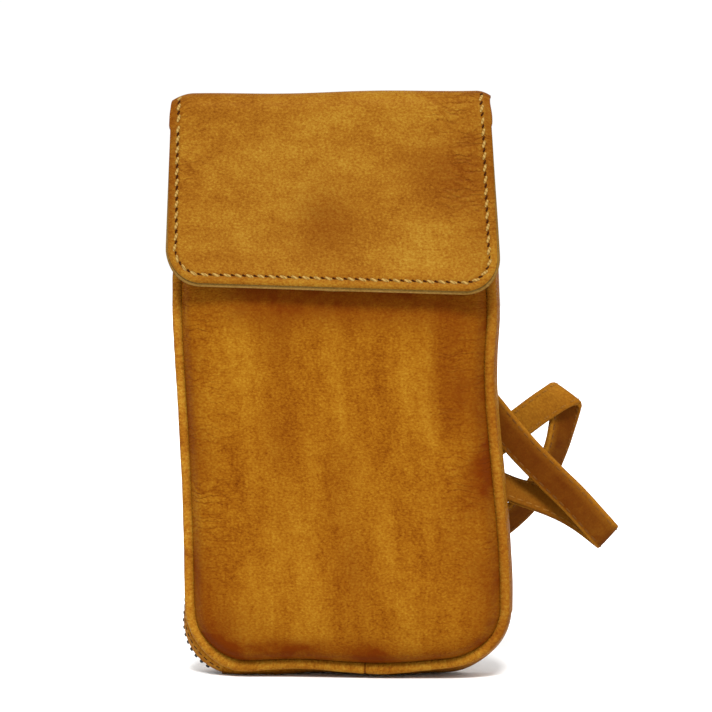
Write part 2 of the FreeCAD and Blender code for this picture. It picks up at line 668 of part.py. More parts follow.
# Rings: a leather tab sewn to the back panel, folded round the upper bar of a rectangular ring.
EYE_BORE = "(Sizes.ring_wire / 2 + Sizes.ring_clearance)"
EYE_RADIUS = f"({EYE_BORE} + Sizes.leather)"
TAB_FRONT = f"({BACK_FACE} + Sizes.seam_clearance / 2)"
EYE_Y = f"({TAB_FRONT} + {EYE_RADIUS})"
for name, side in (("left", -1), ("right", 1)):
    middle = f"({side} * Sizes.ring_spacing / 2)"
    left_edge, right_edge = f"{middle} - Sizes.tab_width / 2", f"{middle} + Sizes.tab_width / 2"
    eye_at = (left_edge, EYE_Y, "Sizes.ring_height")
    stub = box(
        f"tab_stub_{name}",
        (left_edge, right_edge),
        (TAB_FRONT, EYE_Y),
        ("Sizes.ring_height - Sizes.tab_length", "Sizes.ring_height"),
    )
    eye = cylinder(f"tab_eye_{name}", EYE_RADIUS, "Sizes.tab_width", ALONG_X, eye_at)
    bore = cylinder(f"tab_bore_{name}", EYE_BORE, "Sizes.tab_width", ALONG_X, eye_at)
    nodes[f"ring_tab_{name}"] = cut(f"ring_tab_{name}", fused(f"tab_solid_{name}", [stub, eye]), bore)

    ring = doc.addObject("PartDesign::Body", f"ring_{name}")
    path = new_sketch(ring, f"ring_path_{name}", "XZ_Plane", "0")
    half_width = "Sizes.ring_inner_width / 2 + Sizes.ring_wire / 2"
    bend = "Sizes.ring_corner_radius"
    rounded_box(path, half_width, "-Sizes.ring_drop", "0", bend, bend)
    section = new_sketch(ring, f"ring_section_{name}", "XY_Plane", "-Sizes.ring_corner_radius")
    start = FreeCAD.Vector(-value(half_width), 0, 0)
    circle = section.addGeometry(Part.Circle(start, FreeCAD.Vector(0, 0, 1), size("ring_wire") / 2))
    put_point(section, circle, 3, across=f"-({half_width})", up="0")
    bind(section, "Radius", circle, to="Sizes.ring_wire / 2")
    doc.recompute()
    pipe = ring.newObject("PartDesign::AdditivePipe", f"ring_pipe_{name}")
    pipe.Profile = section
    pipe.Spine = path
    ring.Placement.Rotation = FreeCAD.Rotation(FreeCAD.Vector(1, 0, 0), size("ring_tilt"))
    for axis, place in zip("xyz", (middle, EYE_Y, "Sizes.ring_height")):
        ring.setExpression(f"Placement.Base.{axis}", place)
    nodes[f"ring_{name}"] = ring

# Strap: one flat two-layer leather strap. It goes round the left ring, slants down behind the pouch to a fold
# on the right and back to a standing hank, and from the hank to a second fold on the right and up to the
# right ring. Each point of the route has the direction of the strap's straight lines there: across the strap
# on its legs, and along the fold where it folds over.
LEVEL = (1.0, 0.0, 0.0)
LEFT_RUN = [
    ((-34.0, 18.6, 138.0), LEVEL),
    ((-34.0, 20.2, 149.0), LEVEL),
    ((-34.0, 20.2, 161.4), LEVEL),
    ((-34.0, 15.2, 161.4), LEVEL),
    ((-34.0, 15.2, 149.5), LEVEL),
    ((-29.0, 15.4, 138.5), (0.83, 0.0, 0.55)),
    ((-11.0, 15.8, 127.5), (0.56, 0.0, 0.83)),
    ((20.0, 16.4, 110.5), (0.53, 0.0, 0.85)),
    ((38.0, 16.8, 96.5), (0.69, 0.0, 0.72)),
    ((46.6, 17.0, 86.4), (0.78, 0.0, 0.62)),
    ((57.2, 17.0, 73.2), (0.75, 0.0, 0.66)),
    ((67.7, 17.3, 62.6), (0.71, 0.0, 0.71)),
    ((75.2, 17.5, 55.5), (0.71, 0.0, 0.70)),
    ((80.2, 17.7, 49.9), (0.70, 0.0, 0.71)),
    ((85.9, 18.2, 43.5), (0.675, 0.0, 0.737)),
    ((85.6, 22.7, 43.2), (0.675, 0.0, 0.737)),
    ((79.0, 23.2, 48.4), (0.60, 0.0, 0.80)),
    ((72.3, 23.4, 52.4), (0.44, 0.15, 0.88)),
    ((65.7, 23.4, 55.0), (0.27, 0.42, 0.87)),
    ((57.8, 23.2, 56.9), (0.19, 0.70, 0.69)),
    ((52.3, 23.0, 58.9), (0.22, 0.70, 0.68)),
    ((44.7, 23.0, 61.8), (0.40, 0.45, 0.80)),
    ((20.0, 23.0, 75.5), (0.50, 0.0, 0.87)),
    ((-8.0, 23.0, 92.5), (0.60, 0.0, 0.80)),
    ((-17.8, 23.3, 98.5), (0.87, 0.0, 0.49)),
    ((-20.0, 27.5, 97.2), (0.87, 0.0, 0.49)),
    ((-20.0, 27.5, 80.0), LEVEL),
]
HANK_X, HANK_FRONT, HANK_STEP, HANK_LOW, HANK_HIGH, HANK_LOOPS = -20.0, 27.5, 3.8, 1.5, 151.5, 2
HANK_START, HANK_END = 80.0, 30.0
HANK = [((HANK_X, HANK_FRONT, HANK_START), LEVEL)]
for loop in range(HANK_LOOPS):
    y = HANK_FRONT + 2 * loop * HANK_STEP
    for step, z in ((0, HANK_LOW), (1, HANK_LOW), (1, HANK_HIGH), (2, HANK_HIGH)):
        HANK.append(((HANK_X, y + step * HANK_STEP, z), LEVEL))
HANK_BACK = HANK_FRONT + 2 * HANK_LOOPS * HANK_STEP
HANK.append(((HANK_X, HANK_BACK, HANK_END), LEVEL))
RIGHT_RUN = [
    ((-20.0, 42.7, 30.0), LEVEL),
    ((-20.0, 42.7, 9.5), (0.86, 0.0, -0.51)),
    ((-17.9, 46.8, 8.2), (0.86, 0.0, -0.51)),
    ((-8.5, 46.5, 13.0), (0.62, 0.0, -0.78)),
    ((20.0, 42.5, 27.5), (0.47, 0.0, -0.88)),
    ((45.6, 38.0, 42.0), (0.48, 0.35, -0.80)),
    ((52.6, 37.2, 46.4), (0.48, 0.60, -0.62)),
    ((59.3, 36.6, 52.5), (0.55, 0.66, -0.48)),
    ((64.2, 36.2, 59.9), (0.63, 0.68, -0.35)),
    ((69.0, 35.8, 70.2), (0.63, 0.74, -0.22)),
    ((71.3, 35.5, 79.9), (0.80, 0.52, -0.28)),
    ((72.8, 35.2, 88.4), (0.81, 0.0, -0.59)),
    ((71.5, 30.9, 89.2), (0.81, 0.0, -0.59)),
    ((64.4, 30.9, 84.6), (0.66, 0.0, -0.75)),
    ((58.1, 31.0, 79.8), (0.60, 0.0, -0.80)),
    ((44.3, 31.0, 69.3), (0.59, 0.0, -0.81)),
    ((22.0, 31.2, 54.4), (0.62, 0.0, -0.78)),
    ((9.5, 31.0, 46.2), (0.81, 0.0, -0.58)),
    ((8.2, 27.0, 47.1), (0.81, 0.0, -0.58)),
    ((11.3, 26.8, 60.0), (0.93, 0.0, -0.37)),
    ((18.0, 25.8, 86.0), (0.97, 0.0, -0.25)),
    ((26.5, 23.0, 116.0), (0.97, 0.0, -0.25)),
    ((32.8, 20.6, 139.0), (0.99, 0.0, -0.12)),
    ((34.0, 20.2, 150.0), LEVEL),
    ((34.0, 20.2, 161.4), LEVEL),
    ((34.0, 15.2, 161.4), LEVEL),
    ((34.0, 15.2, 149.0), LEVEL),
    ((34.0, 16.8, 138.0), LEVEL),
]
ARC_SHARE = 0.45
ARC_STEP = 25.0


def stations(route):
    # places along the straight runs and the arcs between them (point, direction, line), and the arcs' radii
    points = [FreeCAD.Vector(*point) for point, line in route]
    lines = [FreeCAD.Vector(*line).normalize() for point, line in route]
    found = [(points[0], (points[1] - points[0]).normalize(), lines[0])]
    radii = []
    for i in range(1, len(points) - 1):
        before, after = points[i] - points[i - 1], points[i + 1] - points[i]
        come, go = before.Length, after.Length
        reach = ARC_SHARE * min(come, go)
        a, b = before.normalize(), after.normalize()
        turn = a.getAngle(b)
        radius = reach / math.tan(turn / 2)
        radii.append(radius)
        normal = (b - a * a.dot(b)).normalize()
        centre = points[i] - a * reach + normal * radius
        first = lines[i] + (lines[i - 1] - lines[i]) * (reach / come)
        last = lines[i] + (lines[i + 1] - lines[i]) * (reach / go)
        steps = math.ceil(math.degrees(turn) / ARC_STEP)
        for step in range(steps + 1):
            share = step / steps
            angle = turn * share
            place = centre - normal * (radius * math.cos(angle)) + a * (radius * math.sin(angle))
            along = a * math.cos(angle) + normal * math.sin(angle)
            found.append((place, along, first * (1 - share) + last * share))
    found.append((points[-1], (points[-1] - points[-2]).normalize(), lines[-1]))
    return found, radii


def ribbon(label, route):
    found, radii = stations(route)
    wide, thick = size("strap_width") / 2, size("strap_thickness") / 2
    sections = []
    for place, along, line in found:
        reach = wide / math.sin(line.getAngle(along))
        across = FreeCAD.Vector(line).normalize() * reach
        through = along.cross(line).normalize() * thick
        corners = [place + across * u + through * v for u, v in ((-1, -1), (1, -1), (1, 1), (-1, 1))]
        sections.append(Part.makePolygon(corners + corners[:1]))
    solid = Part.makeLoft(sections, True, True)
    length = sum((q[0] - p[0]).Length for p, q in zip(found, found[1:]))
    wanted = length * size("strap_width") * size("strap_thickness")
    print(f"{label}: {length:.0f} mm long, radii {min(radii):.1f} to {max(radii):.0f} mm,", end=" ")
    print(f"volume {solid.Volume / wanted:.3f} of section times length")
    piece = doc.addObject("Part::Feature", label)
    piece.Shape = solid
    return piece


nodes["strap_left_run"] = ribbon("strap_left_run", LEFT_RUN)
nodes["strap_hank"] = ribbon("strap_hank", HANK)
nodes["strap_right_run"] = ribbon("strap_right_run", RIGHT_RUN)


def self_gap(route, spacing):
    # least distance between points of the route further apart along it than one turn, less a thickness
    line = Part.makePolygon([place for place, along, line in stations(route)[0]])
    points = line.discretize(Distance=spacing)
    skip = int(2 * math.pi * HANK_STEP / spacing)
    pairs = (p.distanceToPoint(q) for i, p in enumerate(points) for q in points[i + skip :])
    return min(pairs) - size("strap_thickness")


print(f"strap_hank: least gap to itself {self_gap(HANK, 1.0):.2f} mm")

# Tie: a soft band round the middle of the hank.
around = size("strap_thickness") / 2 + size("tie_slack")
beside = size("strap_width") / 2 + size("tie_slack")


def tie_block(name, more):
    across = (f"{HANK_X - beside} - {more}", f"{HANK_X + beside} + {more}")
    deep = (f"{HANK_FRONT - around} - {more}", f"{HANK_BACK + around} + {more}")
    up = ("Sizes.tie_place - Sizes.tie_height / 2", "Sizes.tie_place + Sizes.tie_height / 2")
    return box(name, across, deep, up)


tie_outside = tie_block("tie_outside", "Sizes.tie_thickness")
nodes["strap_tie"] = cut("strap_tie", tie_outside, tie_block("tie_inside", "0"))

doc.recompute()
for thing in doc.Objects:
    assert "Invalid" not in thing.State and "Error" not in thing.State, f"{thing.Label}: {thing.State}"
for label, thing in nodes.items():
    thing.Label = label
    assert not thing.Shape.isNull() and thing.Shape.isValid(), f"{label} has no valid shape"
    assert thing.Shape.Solids, f"{label} has no solid"
os.makedirs("parts", exist_ok=True)
for label, thing in nodes.items():
    thing.Shape.exportStep(f"parts/{label}.step")
print(len(nodes), "nodes")
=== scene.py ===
import math

import bmesh
import bpy
import numpy as np
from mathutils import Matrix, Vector, noise


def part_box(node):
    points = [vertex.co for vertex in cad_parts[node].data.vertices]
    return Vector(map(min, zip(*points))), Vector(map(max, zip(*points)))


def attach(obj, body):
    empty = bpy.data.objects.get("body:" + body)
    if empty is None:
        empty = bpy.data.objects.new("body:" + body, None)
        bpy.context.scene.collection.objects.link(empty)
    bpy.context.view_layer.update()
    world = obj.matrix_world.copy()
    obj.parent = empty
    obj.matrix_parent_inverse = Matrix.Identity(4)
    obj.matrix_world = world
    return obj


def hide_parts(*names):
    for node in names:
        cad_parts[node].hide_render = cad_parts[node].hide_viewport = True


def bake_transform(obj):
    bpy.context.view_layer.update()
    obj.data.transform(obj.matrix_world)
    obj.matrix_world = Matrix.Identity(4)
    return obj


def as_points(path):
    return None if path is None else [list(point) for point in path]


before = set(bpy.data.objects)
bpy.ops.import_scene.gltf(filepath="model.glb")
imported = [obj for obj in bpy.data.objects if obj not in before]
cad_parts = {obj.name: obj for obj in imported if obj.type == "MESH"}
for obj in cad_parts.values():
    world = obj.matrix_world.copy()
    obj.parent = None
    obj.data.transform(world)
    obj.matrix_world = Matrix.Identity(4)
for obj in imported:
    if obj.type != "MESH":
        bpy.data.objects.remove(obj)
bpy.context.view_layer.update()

# Camera: a long lens, nearly level and a little to the right of the pouch, so that its right side just
# shows. The frame is 224 mm wide where the front of the pouch stands.
aim, frame_width = Vector((0.0077, -0.0200, 0.1032)), 0.2239
turn, rise, distance = math.radians(5.0), math.radians(2.5), 1.1
back = Vector((math.sin(turn) * math.cos(rise), -math.cos(turn) * math.cos(rise), math.sin(rise)))
camera = bpy.data.objects.new("camera", bpy.data.cameras.new("camera"))
camera.data.lens = camera.data.sensor_width * distance / frame_width
camera.location = aim + back * distance
camera.rotation_mode = "QUATERNION"
camera.rotation_quaternion = back.to_track_quat("Z", "Y")
bpy.context.scene.collection.objects.link(camera)
bpy.context.scene.camera = camera


# Studio: a seamless white paper floor in an evenly white room, and one large soft key light in front of
# the pouch and above it.
def linear(code):
    # the linear colour of an sRGB hex code
    parts = [int(code[i : i + 2], 16) / 255 for i in (1, 3, 5)]
    return [c / 12.92 if c <= 0.04045 else ((c + 0.055) / 1.055) ** 2.4 for c in parts] + [1.0]


def feed(tree, node, inputs):
    # sets inputs of a node, each by a value or by a link from another node
    for name, value in inputs.items():
        if isinstance(value, bpy.types.NodeSocket):
            tree.links.new(value, node.inputs[name])
        else:
            node.inputs[name].default_value = value


def add(tree, kind, settings, inputs):
    made = tree.nodes.new("ShaderNode" + kind)
    for name, value in settings.items():
        setattr(made, name, value)
    feed(tree, made, inputs)
    return made


def blank(name):
    # a new material, its nodes and its surface
    material = bpy.data.materials.new(name)
    material.use_nodes = True
    return material, material.node_tree, material.node_tree.nodes["Principled BSDF"]


bpy.context.scene.view_settings.view_transform = "Standard"
world = bpy.data.worlds.new("white_room")
world.use_nodes = True
room = {"Color": (1.0, 1.0, 1.0, 1.0), "Strength": 1.03}
feed(world.node_tree, world.node_tree.nodes["Background"], room)
bpy.context.scene.world = world
key = bpy.data.objects.new("key_light", bpy.data.lights.new("key_light", "SUN"))
key.data.energy = 4.2
key.data.angle = math.radians(17.0)
shines = Vector((0.06, -0.70, 0.71))
key.rotation_mode = "QUATERNION"
key.rotation_quaternion = shines.to_track_quat("Z", "Y")
key.location = shines * 2.0
bpy.context.scene.collection.objects.link(key)

# matt paper, given a faint felt by clumps of fibre, 0.9 to a millimetre
paper, tree, surface = blank("white_background_paper")
speckle = add(tree, "TexNoise", {}, {"Scale": 0.9 / 0.001, "Detail": 2.0})
felt = add(tree, "Bump", {}, {"Strength": 0.05, "Distance": 0.0002, "Height": speckle.outputs["Fac"]})
feed(tree, surface, {"Base Color": linear("#FDFDFC"), "Roughness": 0.85, "Normal": felt.outputs["Normal"]})
bpy.ops.mesh.primitive_grid_add(x_subdivisions=8, y_subdivisions=8, size=8.0, location=(0, 0, -0.0002))
floor = bpy.context.object
floor.name = "paper_floor"
floor.data.materials.append(paper)


# Back panel: one piece of waxed full-grain cowhide, 1.4 mm thick, softly domed, sewn into the rear seam.
# The pouch's outline, its slouch and the hide itself are set out here, because the other pieces follow
# them.
HALF, TALL, LOW_ROUND, TOP_ROUND = 51.5, 178.0, 20.0, 10.0


def smooth(value):
    # rises from 0 to 1 without a corner at either end
    t = np.clip(value, 0.0, 1.0)
    return t * t * (3 - 2 * t)


def hump(value, middle, width):
    # 1 at the middle, dying away on both sides
    return np.exp(-(((value - middle) / width) ** 2))


def xyz(x, y, z):
    return np.stack(np.broadcast_arrays(x, y, z), -1)


def ripple(points, scale, seed):
    # gentle unevenness of soft hide, from -1 to 1, at points in mm
    flat = np.asarray(points, float).reshape(-1, 3) / scale
    found = [noise.noise(Vector(p) + Vector((seed, 2.7 * seed, 0.0))) for p in flat]
    return np.array(found).reshape(np.shape(points)[:-1])


def slouch(points):
    # the empty pouch leans to the right towards its bottom, its lower edge is wavy, its zipped corner on the
    # lower left sags out onto the floor, and its lower right corner is tucked in
    p = np.array(points, float)
    x, y, z = p[..., 0].copy(), p[..., 1], p[..., 2].copy()
    corner = HALF - LOW_ROUND
    sag_x, tuck_x, up = x + corner, x - corner, z - LOW_ROUND
    reach = np.hypot(sag_x, up) + 1e-6
    bearing = np.degrees(np.arctan2(up, sag_x)) % 360
    bulge = 4.2 * hump(bearing, 221, 42) * smooth((reach - 4) / 12)
    bulge *= smooth((y + 9.5) / 8.5) * (1 - 0.3 * smooth((y + 1.0) / 3.0)) - 0.26
    bearing = np.degrees(np.arctan2(up, tuck_x)) % 360
    tuck = 1.35 * hump(bearing, 314, 44) * smooth((np.hypot(tuck_x, up) - 4) / 12)
    waist = 0.016 * hump(z, 28, 28) - 0.010 * hump(z, 90, 26) - 0.022 * smooth((z - 128) / 25) - 0.003
    waist = waist + (0.026 * hump(z, 116, 13) - 0.022 * smooth((z - 146) / 20)) * (x > 0)
    p[..., 0] = x * (1 + waist) + 4.6 * smooth((118 - z) / 92) - 0.9 * smooth((150 - z) / 30)
    p[..., 0] += bulge * sag_x / reach - 0.7 * tuck
    zipped = smooth((-10 - x) / 14)
    lift = 1.75 + 0.9 * np.cos(2 * np.pi * (x + 15) / 50) + 0.35 * smooth((x + 10) / 20)
    lift *= np.clip(1 - z / 26, 0, 1) ** 2
    lift *= zipped * smooth((-1.5 - y) / 6.0) + (1 - zipped) * np.clip((5.0 - y) / 12, 0, 1)
    p[..., 2] = np.maximum(z + lift + 0.7 * tuck + bulge * up / reach, 0.05)
    return p


def make(name, points, faces, material, marks):
    # a piece from points in mm; marks are the values that its material reads at each point
    mesh = bpy.data.meshes.new(name)
    mesh.from_pydata((np.asarray(points, float) / 1000).tolist(), [], faces)
    for label, values in marks.items():
        values = np.asarray(values, np.float32)
        kind, field = ("FLOAT_VECTOR", "vector") if values.ndim == 2 else ("FLOAT", "value")
        mesh.attributes.new(label, kind, "POINT").data.foreach_set(field, values.ravel())
    shape = bmesh.new()
    shape.from_mesh(mesh)
    bmesh.ops.recalc_face_normals(shape, faces=shape.faces)
    shape.to_mesh(mesh)
    shape.free()
    mesh.shade_smooth()
    mesh.set_sharp_from_angle(angle=math.radians(50))
    mesh.materials.append(material)
    piece = bpy.data.objects.new(name, mesh)
    bpy.context.scene.collection.objects.link(piece)
    return piece


def thick_sheet(name, face, thickness, material, hide, tone, worn=None):
    # a sheet with rounded edges, from the rows and columns of its outer face and its thickness in mm
    rows, columns = face.shape[:2]
    across, along = np.gradient(face, axis=1), np.gradient(face, axis=0)
    normal = np.cross(across, along)
    normal /= np.linalg.norm(normal, axis=-1)[..., None] + 1e-12
    rear = face - normal * thickness
    count = rows * columns
    index = np.arange(count).reshape(rows, columns)
    quads = np.stack([index[:-1, :-1], index[:-1, 1:], index[1:, 1:], index[1:, :-1]], -1).reshape(-1, 4)
    faces = quads.tolist() + (quads[:, ::-1] + count).tolist()
    rim = [(0, j) for j in range(columns)] + [(i, columns - 1) for i in range(1, rows)]
    rim += [(rows - 1, j) for j in range(columns - 2, -1, -1)] + [(i, 0) for i in range(rows - 2, 0, -1)]
    edge, bulge = [], 0.35 * thickness
    for i, j in rim:
        inner = face[min(max(i, 1), rows - 2), min(max(j, 1), columns - 2)]
        out = face[i, j] - inner
        out = out - normal[i, j] * np.dot(out, normal[i, j])
        out /= np.linalg.norm(out) + 1e-9
        edge.append((face[i, j] + rear[i, j]) / 2 + out * bulge)
    for k, (i, j) in enumerate(rim):
        n = (k + 1) % len(rim)
        first, second = index[i, j], index[rim[n]]
        faces.append([int(first), int(second), 2 * count + n, 2 * count + k])
        faces.append([2 * count + k, 2 * count + n, int(second) + count, int(first) + count])
    places = np.concatenate([face.reshape(-1, 3), rear.reshape(-1, 3), np.array(edge)])
    flat, dark = hide.reshape(-1, 3), tone.reshape(-1)
    on_rim = [i * columns + j for i, j in rim]
    marks = {
        "hide": np.concatenate([flat, flat + [0, 0, 30], flat[on_rim]]),
        "tone": np.concatenate([dark, dark, dark[on_rim] + 0.1]),
    }
    if worn is not None:
        bent = worn.reshape(-1)
        marks["worn"] = np.concatenate([bent, bent, bent[on_rim]])
    return make(name, places, faces, material, marks)


def panel_grid(inset, top, shoulder, columns=84):
    # rows and columns over a panel of the pouch's outline, and each point's distance from its sewn edge
    wide, low, r = HALF - inset, inset, LOW_ROUND - inset
    closed = top is None
    high, q = (TALL - inset if closed else top), TOP_ROUND - inset
    rows = [low + r * (1 - math.cos(a)) for a in np.linspace(0, math.pi / 2, 18)]
    straight = high - q if closed else high
    rows += list(np.linspace(low + r, straight, 76)[1:])
    if closed:
        rows += [high - q + q * math.sin(a) for a in np.linspace(0, math.pi / 2, 12)[1:]]
    z = np.array(rows)
    reach = np.full_like(z, wide)
    below = z < low + r
    reach[below] = wide - r + np.sqrt(np.clip(r * r - (low + r - z[below]) ** 2, 0, None))
    if closed:
        above = z > high - q
        reach[above] = wide - q + np.sqrt(np.clip(q * q - (z[above] - high + q) ** 2, 0, None))
    t = np.linspace(-1, 1, columns)
    share = np.sign(t) * (1 - (1 - np.abs(t)) ** shoulder)
    x, z = reach[:, None] * share[None, :], np.repeat(z[:, None], columns, 1)
    side, down = np.abs(x) - (wide - r), low + r - z
    gap = np.minimum(wide - np.abs(x), z - low)
    gap = np.where((side > 0) & (down > 0), r - np.hypot(side, down), gap)
    if closed:
        side, up = np.abs(x) - (wide - q), z - high + q
        round_gap = np.where((side > 0) & (up > 0), q - np.hypot(side, up), high - z)
        gap = np.minimum(gap, round_gap)
    return x, z, np.clip(gap, 0, None)


def cowhide(name, shades, burnt_and_shade, streak, wax=0.5, patchy=0.55):
    # Waxed, tumbled full-grain cowhide: a fine pebbled grain under a satin wax, cloudy where the dye took
    # unevenly, creased where it was bent, and redder and darker where its tone mark is high: where it was
    # burnished, and where shade is painted in. Shades run dark to light, and one more colour is that of
    # burnish and painted shade; streak is the size of the clouds in mm, wax the roughness, patchy how
    # unevenly it took.
    material, tree, surface = blank(name)
    marks = [add(tree, "Attribute", {"attribute_name": mark}, {}) for mark in ("hide", "tone", "worn")]
    hide, tone, worn = marks[0].outputs["Vector"], marks[1].outputs["Fac"], marks[2].outputs["Fac"]
    times, times_plus = {"operation": "MULTIPLY"}, {"operation": "MULTIPLY_ADD"}
    size = [1 / s for s in streak]
    stretched = add(tree, "VectorMath", times, {0: hide, 1: size}).outputs["Vector"]
    cloud = add(tree, "TexNoise", {}, {"Vector": stretched, "Scale": 1.0, "Detail": 4.0, "Roughness": 0.6})
    patch = add(tree, "TexNoise", {}, {"Vector": hide, "Scale": 1 / 5.5, "Detail": 5.0, "Roughness": 0.68})
    brushed = [1 / 0.85, 1 / 0.55, 1 / 0.85]
    scuffed = add(tree, "VectorMath", times, {0: hide, 1: brushed}).outputs["Vector"]
    fleck = add(tree, "TexNoise", {}, {"Vector": scuffed, "Scale": 1.0, "Detail": 3.0, "Roughness": 0.75})
    cloud, patch, fleck = (pattern.outputs["Fac"] for pattern in (cloud, patch, fleck))
    grain = add(tree, "TexVoronoi", {"feature": "SMOOTH_F1"}, {"Vector": hide, "Scale": 1 / 0.8})
    pebble = grain.outputs["Distance"]
    bent = add(tree, "TexNoise", {}, {"Vector": hide, "Scale": 1 / 7.0, "Detail": 3.0}).outputs["Color"]
    wander = add(tree, "VectorMath", {"operation": "SCALE"}, {0: bent, "Scale": 6.0}).outputs["Vector"]
    creased = add(tree, "VectorMath", {"operation": "ADD"}, {0: hide, 1: wander}).outputs["Vector"]
    lines = [1 / 9.0, 1 / 2.1, 1 / 9.0]
    flat = add(tree, "VectorMath", times, {0: creased, 1: lines}).outputs["Vector"]
    fold = add(tree, "TexVoronoi", {"feature": "DISTANCE_TO_EDGE"}, {"Vector": flat, "Scale": 1.0})
    ridge = {"From Min": 0.0, "From Max": 0.16, "To Min": 1.0, "To Max": 0.0}
    wrinkle = add(tree, "MapRange", {}, {"Value": fold.outputs["Distance"], **ridge}).outputs["Result"]
    wrinkle = add(tree, "Math", times, {0: wrinkle, 1: worn}).outputs[0]
    # strength of the dye: clouds, patches, flecks, pebbles and creases
    dye = -0.58
    for source, share in ((cloud, 0.90), (patch, 0.50), (fleck, 1.10), (pebble, -0.30), (wrinkle, -0.26)):
        dye = add(tree, "Math", times_plus, {0: source, 1: share, 2: dye}).outputs[0]
    ramp = add(tree, "ValToRGB", {}, {"Fac": dye})
    stops = ramp.color_ramp.elements
    for k, shade in enumerate(shades):
        place = 0.10 + 0.80 * k / (len(shades) - 1)
        stop = stops[k] if k < 2 else stops.new(place)
        stop.position = place
        stop.color = linear(shade)
    ragged = {"From Min": 0.25, "From Max": 0.75, "To Min": 1 - patchy, "To Max": 1 + patchy}
    uneven = add(tree, "MapRange", {}, {"Value": patch, **ragged}).outputs["Result"]
    # the tone mark, broken up by the patches: real burnish and painted shade alike
    burnish_and_shade = add(tree, "Math", {**times, "use_clamp": True}, {0: tone, 1: uneven}).outputs[0]
    # 0, 6 and 7 are the factor and the two colours
    mixed = {0: burnish_and_shade, 6: ramp.outputs["Color"], 7: linear(burnt_and_shade)}
    colour = add(tree, "Mix", {"data_type": "RGBA"}, mixed).outputs[2]
    # relief in mm: pebbles, flecks, creases and soft unevenness
    relief = 0.0
    for source, share in ((pebble, -0.07), (fleck, 0.06), (wrinkle, -0.30), (patch, 0.30)):
        relief = add(tree, "Math", times_plus, {0: source, 1: share, 2: relief}).outputs[0]
    bump = add(tree, "Bump", {}, {"Strength": 0.75, "Distance": 0.001, "Height": relief}).outputs["Normal"]
    rubbed_and_shaded = {"From Min": 0.3, "From Max": 0.7, "To Min": wax + 0.1, "To Max": wax - 0.08}
    gloss = add(tree, "MapRange", {}, {"Value": patch, **rubbed_and_shaded}).outputs["Result"]
    feed(tree, surface, {"Base Color": colour, "Roughness": gloss, "Normal": bump})
    feed(tree, surface, {"IOR": 1.48, "Specular IOR Level": 0.01})
    return material


TAN_SHADES = ("#502502", "#633404", "#734408", "#7F530F", "#8A6218")
# the colour of burnished hide, and also of the painted shade under the flap and along the right side
BURNT_AND_SHADE = "#562302"
body_hide = cowhide("waxed_cowhide", TAN_SHADES, BURNT_AND_SHADE, (13.0, 60.0, 13.0))
x, z, gap = panel_grid(2.6, None, 1.6)
rim = np.sqrt(1 - (1 - np.clip(gap / 7.0, 0, 1)) ** 2)
uneven = ripple(xyz(x, z, 0.0), 26.0, 3.1)
y = 6.9 + 2.5 * rim + 0.35 * uneven * smooth(gap / 10) * smooth((140 - z) / 20)
tone = 0.55 * np.exp(-gap / 4.5) + 0.12 * uneven
flat = [part[:, ::-1] for part in (slouch(xyz(x, y, z)), xyz(x, z, 200.0), tone)]
back_panel = thick_sheet("back_panel_hide", flat[0], 1.4, body_hide, *flat[1:])
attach(back_panel, "pouch")
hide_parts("back_panel")


# Linings: plain cotton twill, 0.5 mm thick, glued to the inside of the back panel and of the middle panel,
# and sewn as a bag into the phone pocket. The twill's ribs are drawn at 1.1 mm, coarser than real, so that
# they show.
def twill(name, light, dark, pitch, lean):
    # Woven cloth: threads over and under each other, matt and slightly fuzzy. Pitch is the ribs' in mm.
    material, tree, surface = blank(name)
    hide = add(tree, "Attribute", {"attribute_name": "hide"}, {}).outputs["Vector"]
    turned = add(tree, "VectorRotate", {"rotation_type": "Z_AXIS"}, {"Vector": hide, "Angle": lean})
    wave = {"Vector": turned.outputs["Vector"], "Scale": 2 * math.pi / pitch / 20, "Distortion": 0.4}
    rib = add(tree, "TexWave", {"bands_direction": "X"}, wave)
    weft = add(tree, "TexWave", {"bands_direction": "Y"}, {**wave, "Distortion": 0.8})
    slub = add(tree, "TexNoise", {}, {"Vector": hide, "Scale": 1 / 2.4, "Detail": 4.0})
    mix = add(tree, "Math", {"operation": "MULTIPLY"}, {0: rib.outputs["Fac"], 1: weft.outputs["Fac"]})
    terms = {0: slub.outputs["Fac"], 1: 0.5, 2: mix.outputs[0]}
    level = add(tree, "Math", {"operation": "MULTIPLY_ADD"}, terms).outputs[0]
    ramp = add(tree, "ValToRGB", {}, {"Fac": level})
    for stop, place, shade in zip(ramp.color_ramp.elements, (0.15, 0.85), (dark, light)):
        stop.position = place
        stop.color = linear(shade)
    bump = add(tree, "Bump", {}, {"Strength": 0.7, "Distance": 0.00015, "Height": level})
    feed(tree, surface, {"Base Color": ramp.outputs["Color"], "Normal": bump.outputs["Normal"]})
    feed(tree, surface, {"Roughness": 0.9, "Sheen Weight": 0.25})
    return material


lining_cloth = twill("cotton_twill", "#8E7A58", "#5E4C2E", 1.1, 0.78)
for label, inset, depth in (("back_lining", 6.0, 7.2), ("middle_lining", 5.4, -6.0)):
    x, z, _ = panel_grid(inset, None, 1.3, 40)
    y = depth + 0.15 * ripple(xyz(x, z, 0.0), 18.0, depth)
    flat = [part[:, ::-1] for part in (slouch(xyz(x, y, z)), xyz(x, z, 0.0), 0 * x)]
    lining = thick_sheet(label + "_cloth", flat[0], 0.45, lining_cloth, *flat[1:])
    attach(lining, "pouch")
    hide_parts(label)


# Piping: a thin cord wrapped in a strip of the same hide, sewn into both seams. The front one runs down the
# left side, under the pouch and up the right side, with a butt joint under the bottom; the rear one goes
# all round.
DOWN, SIDE, TOP = HALF - LOW_ROUND, TALL - LOW_ROUND - TOP_ROUND, 2 * (HALF - TOP_ROUND)
LOW_ARC, TOP_ARC = LOW_ROUND * math.pi / 2, TOP_ROUND * math.pi / 2
RUNS = (DOWN, LOW_ARC, SIDE, TOP_ARC, TOP, TOP_ARC, SIDE, LOW_ARC, DOWN)
AROUND = sum(RUNS)


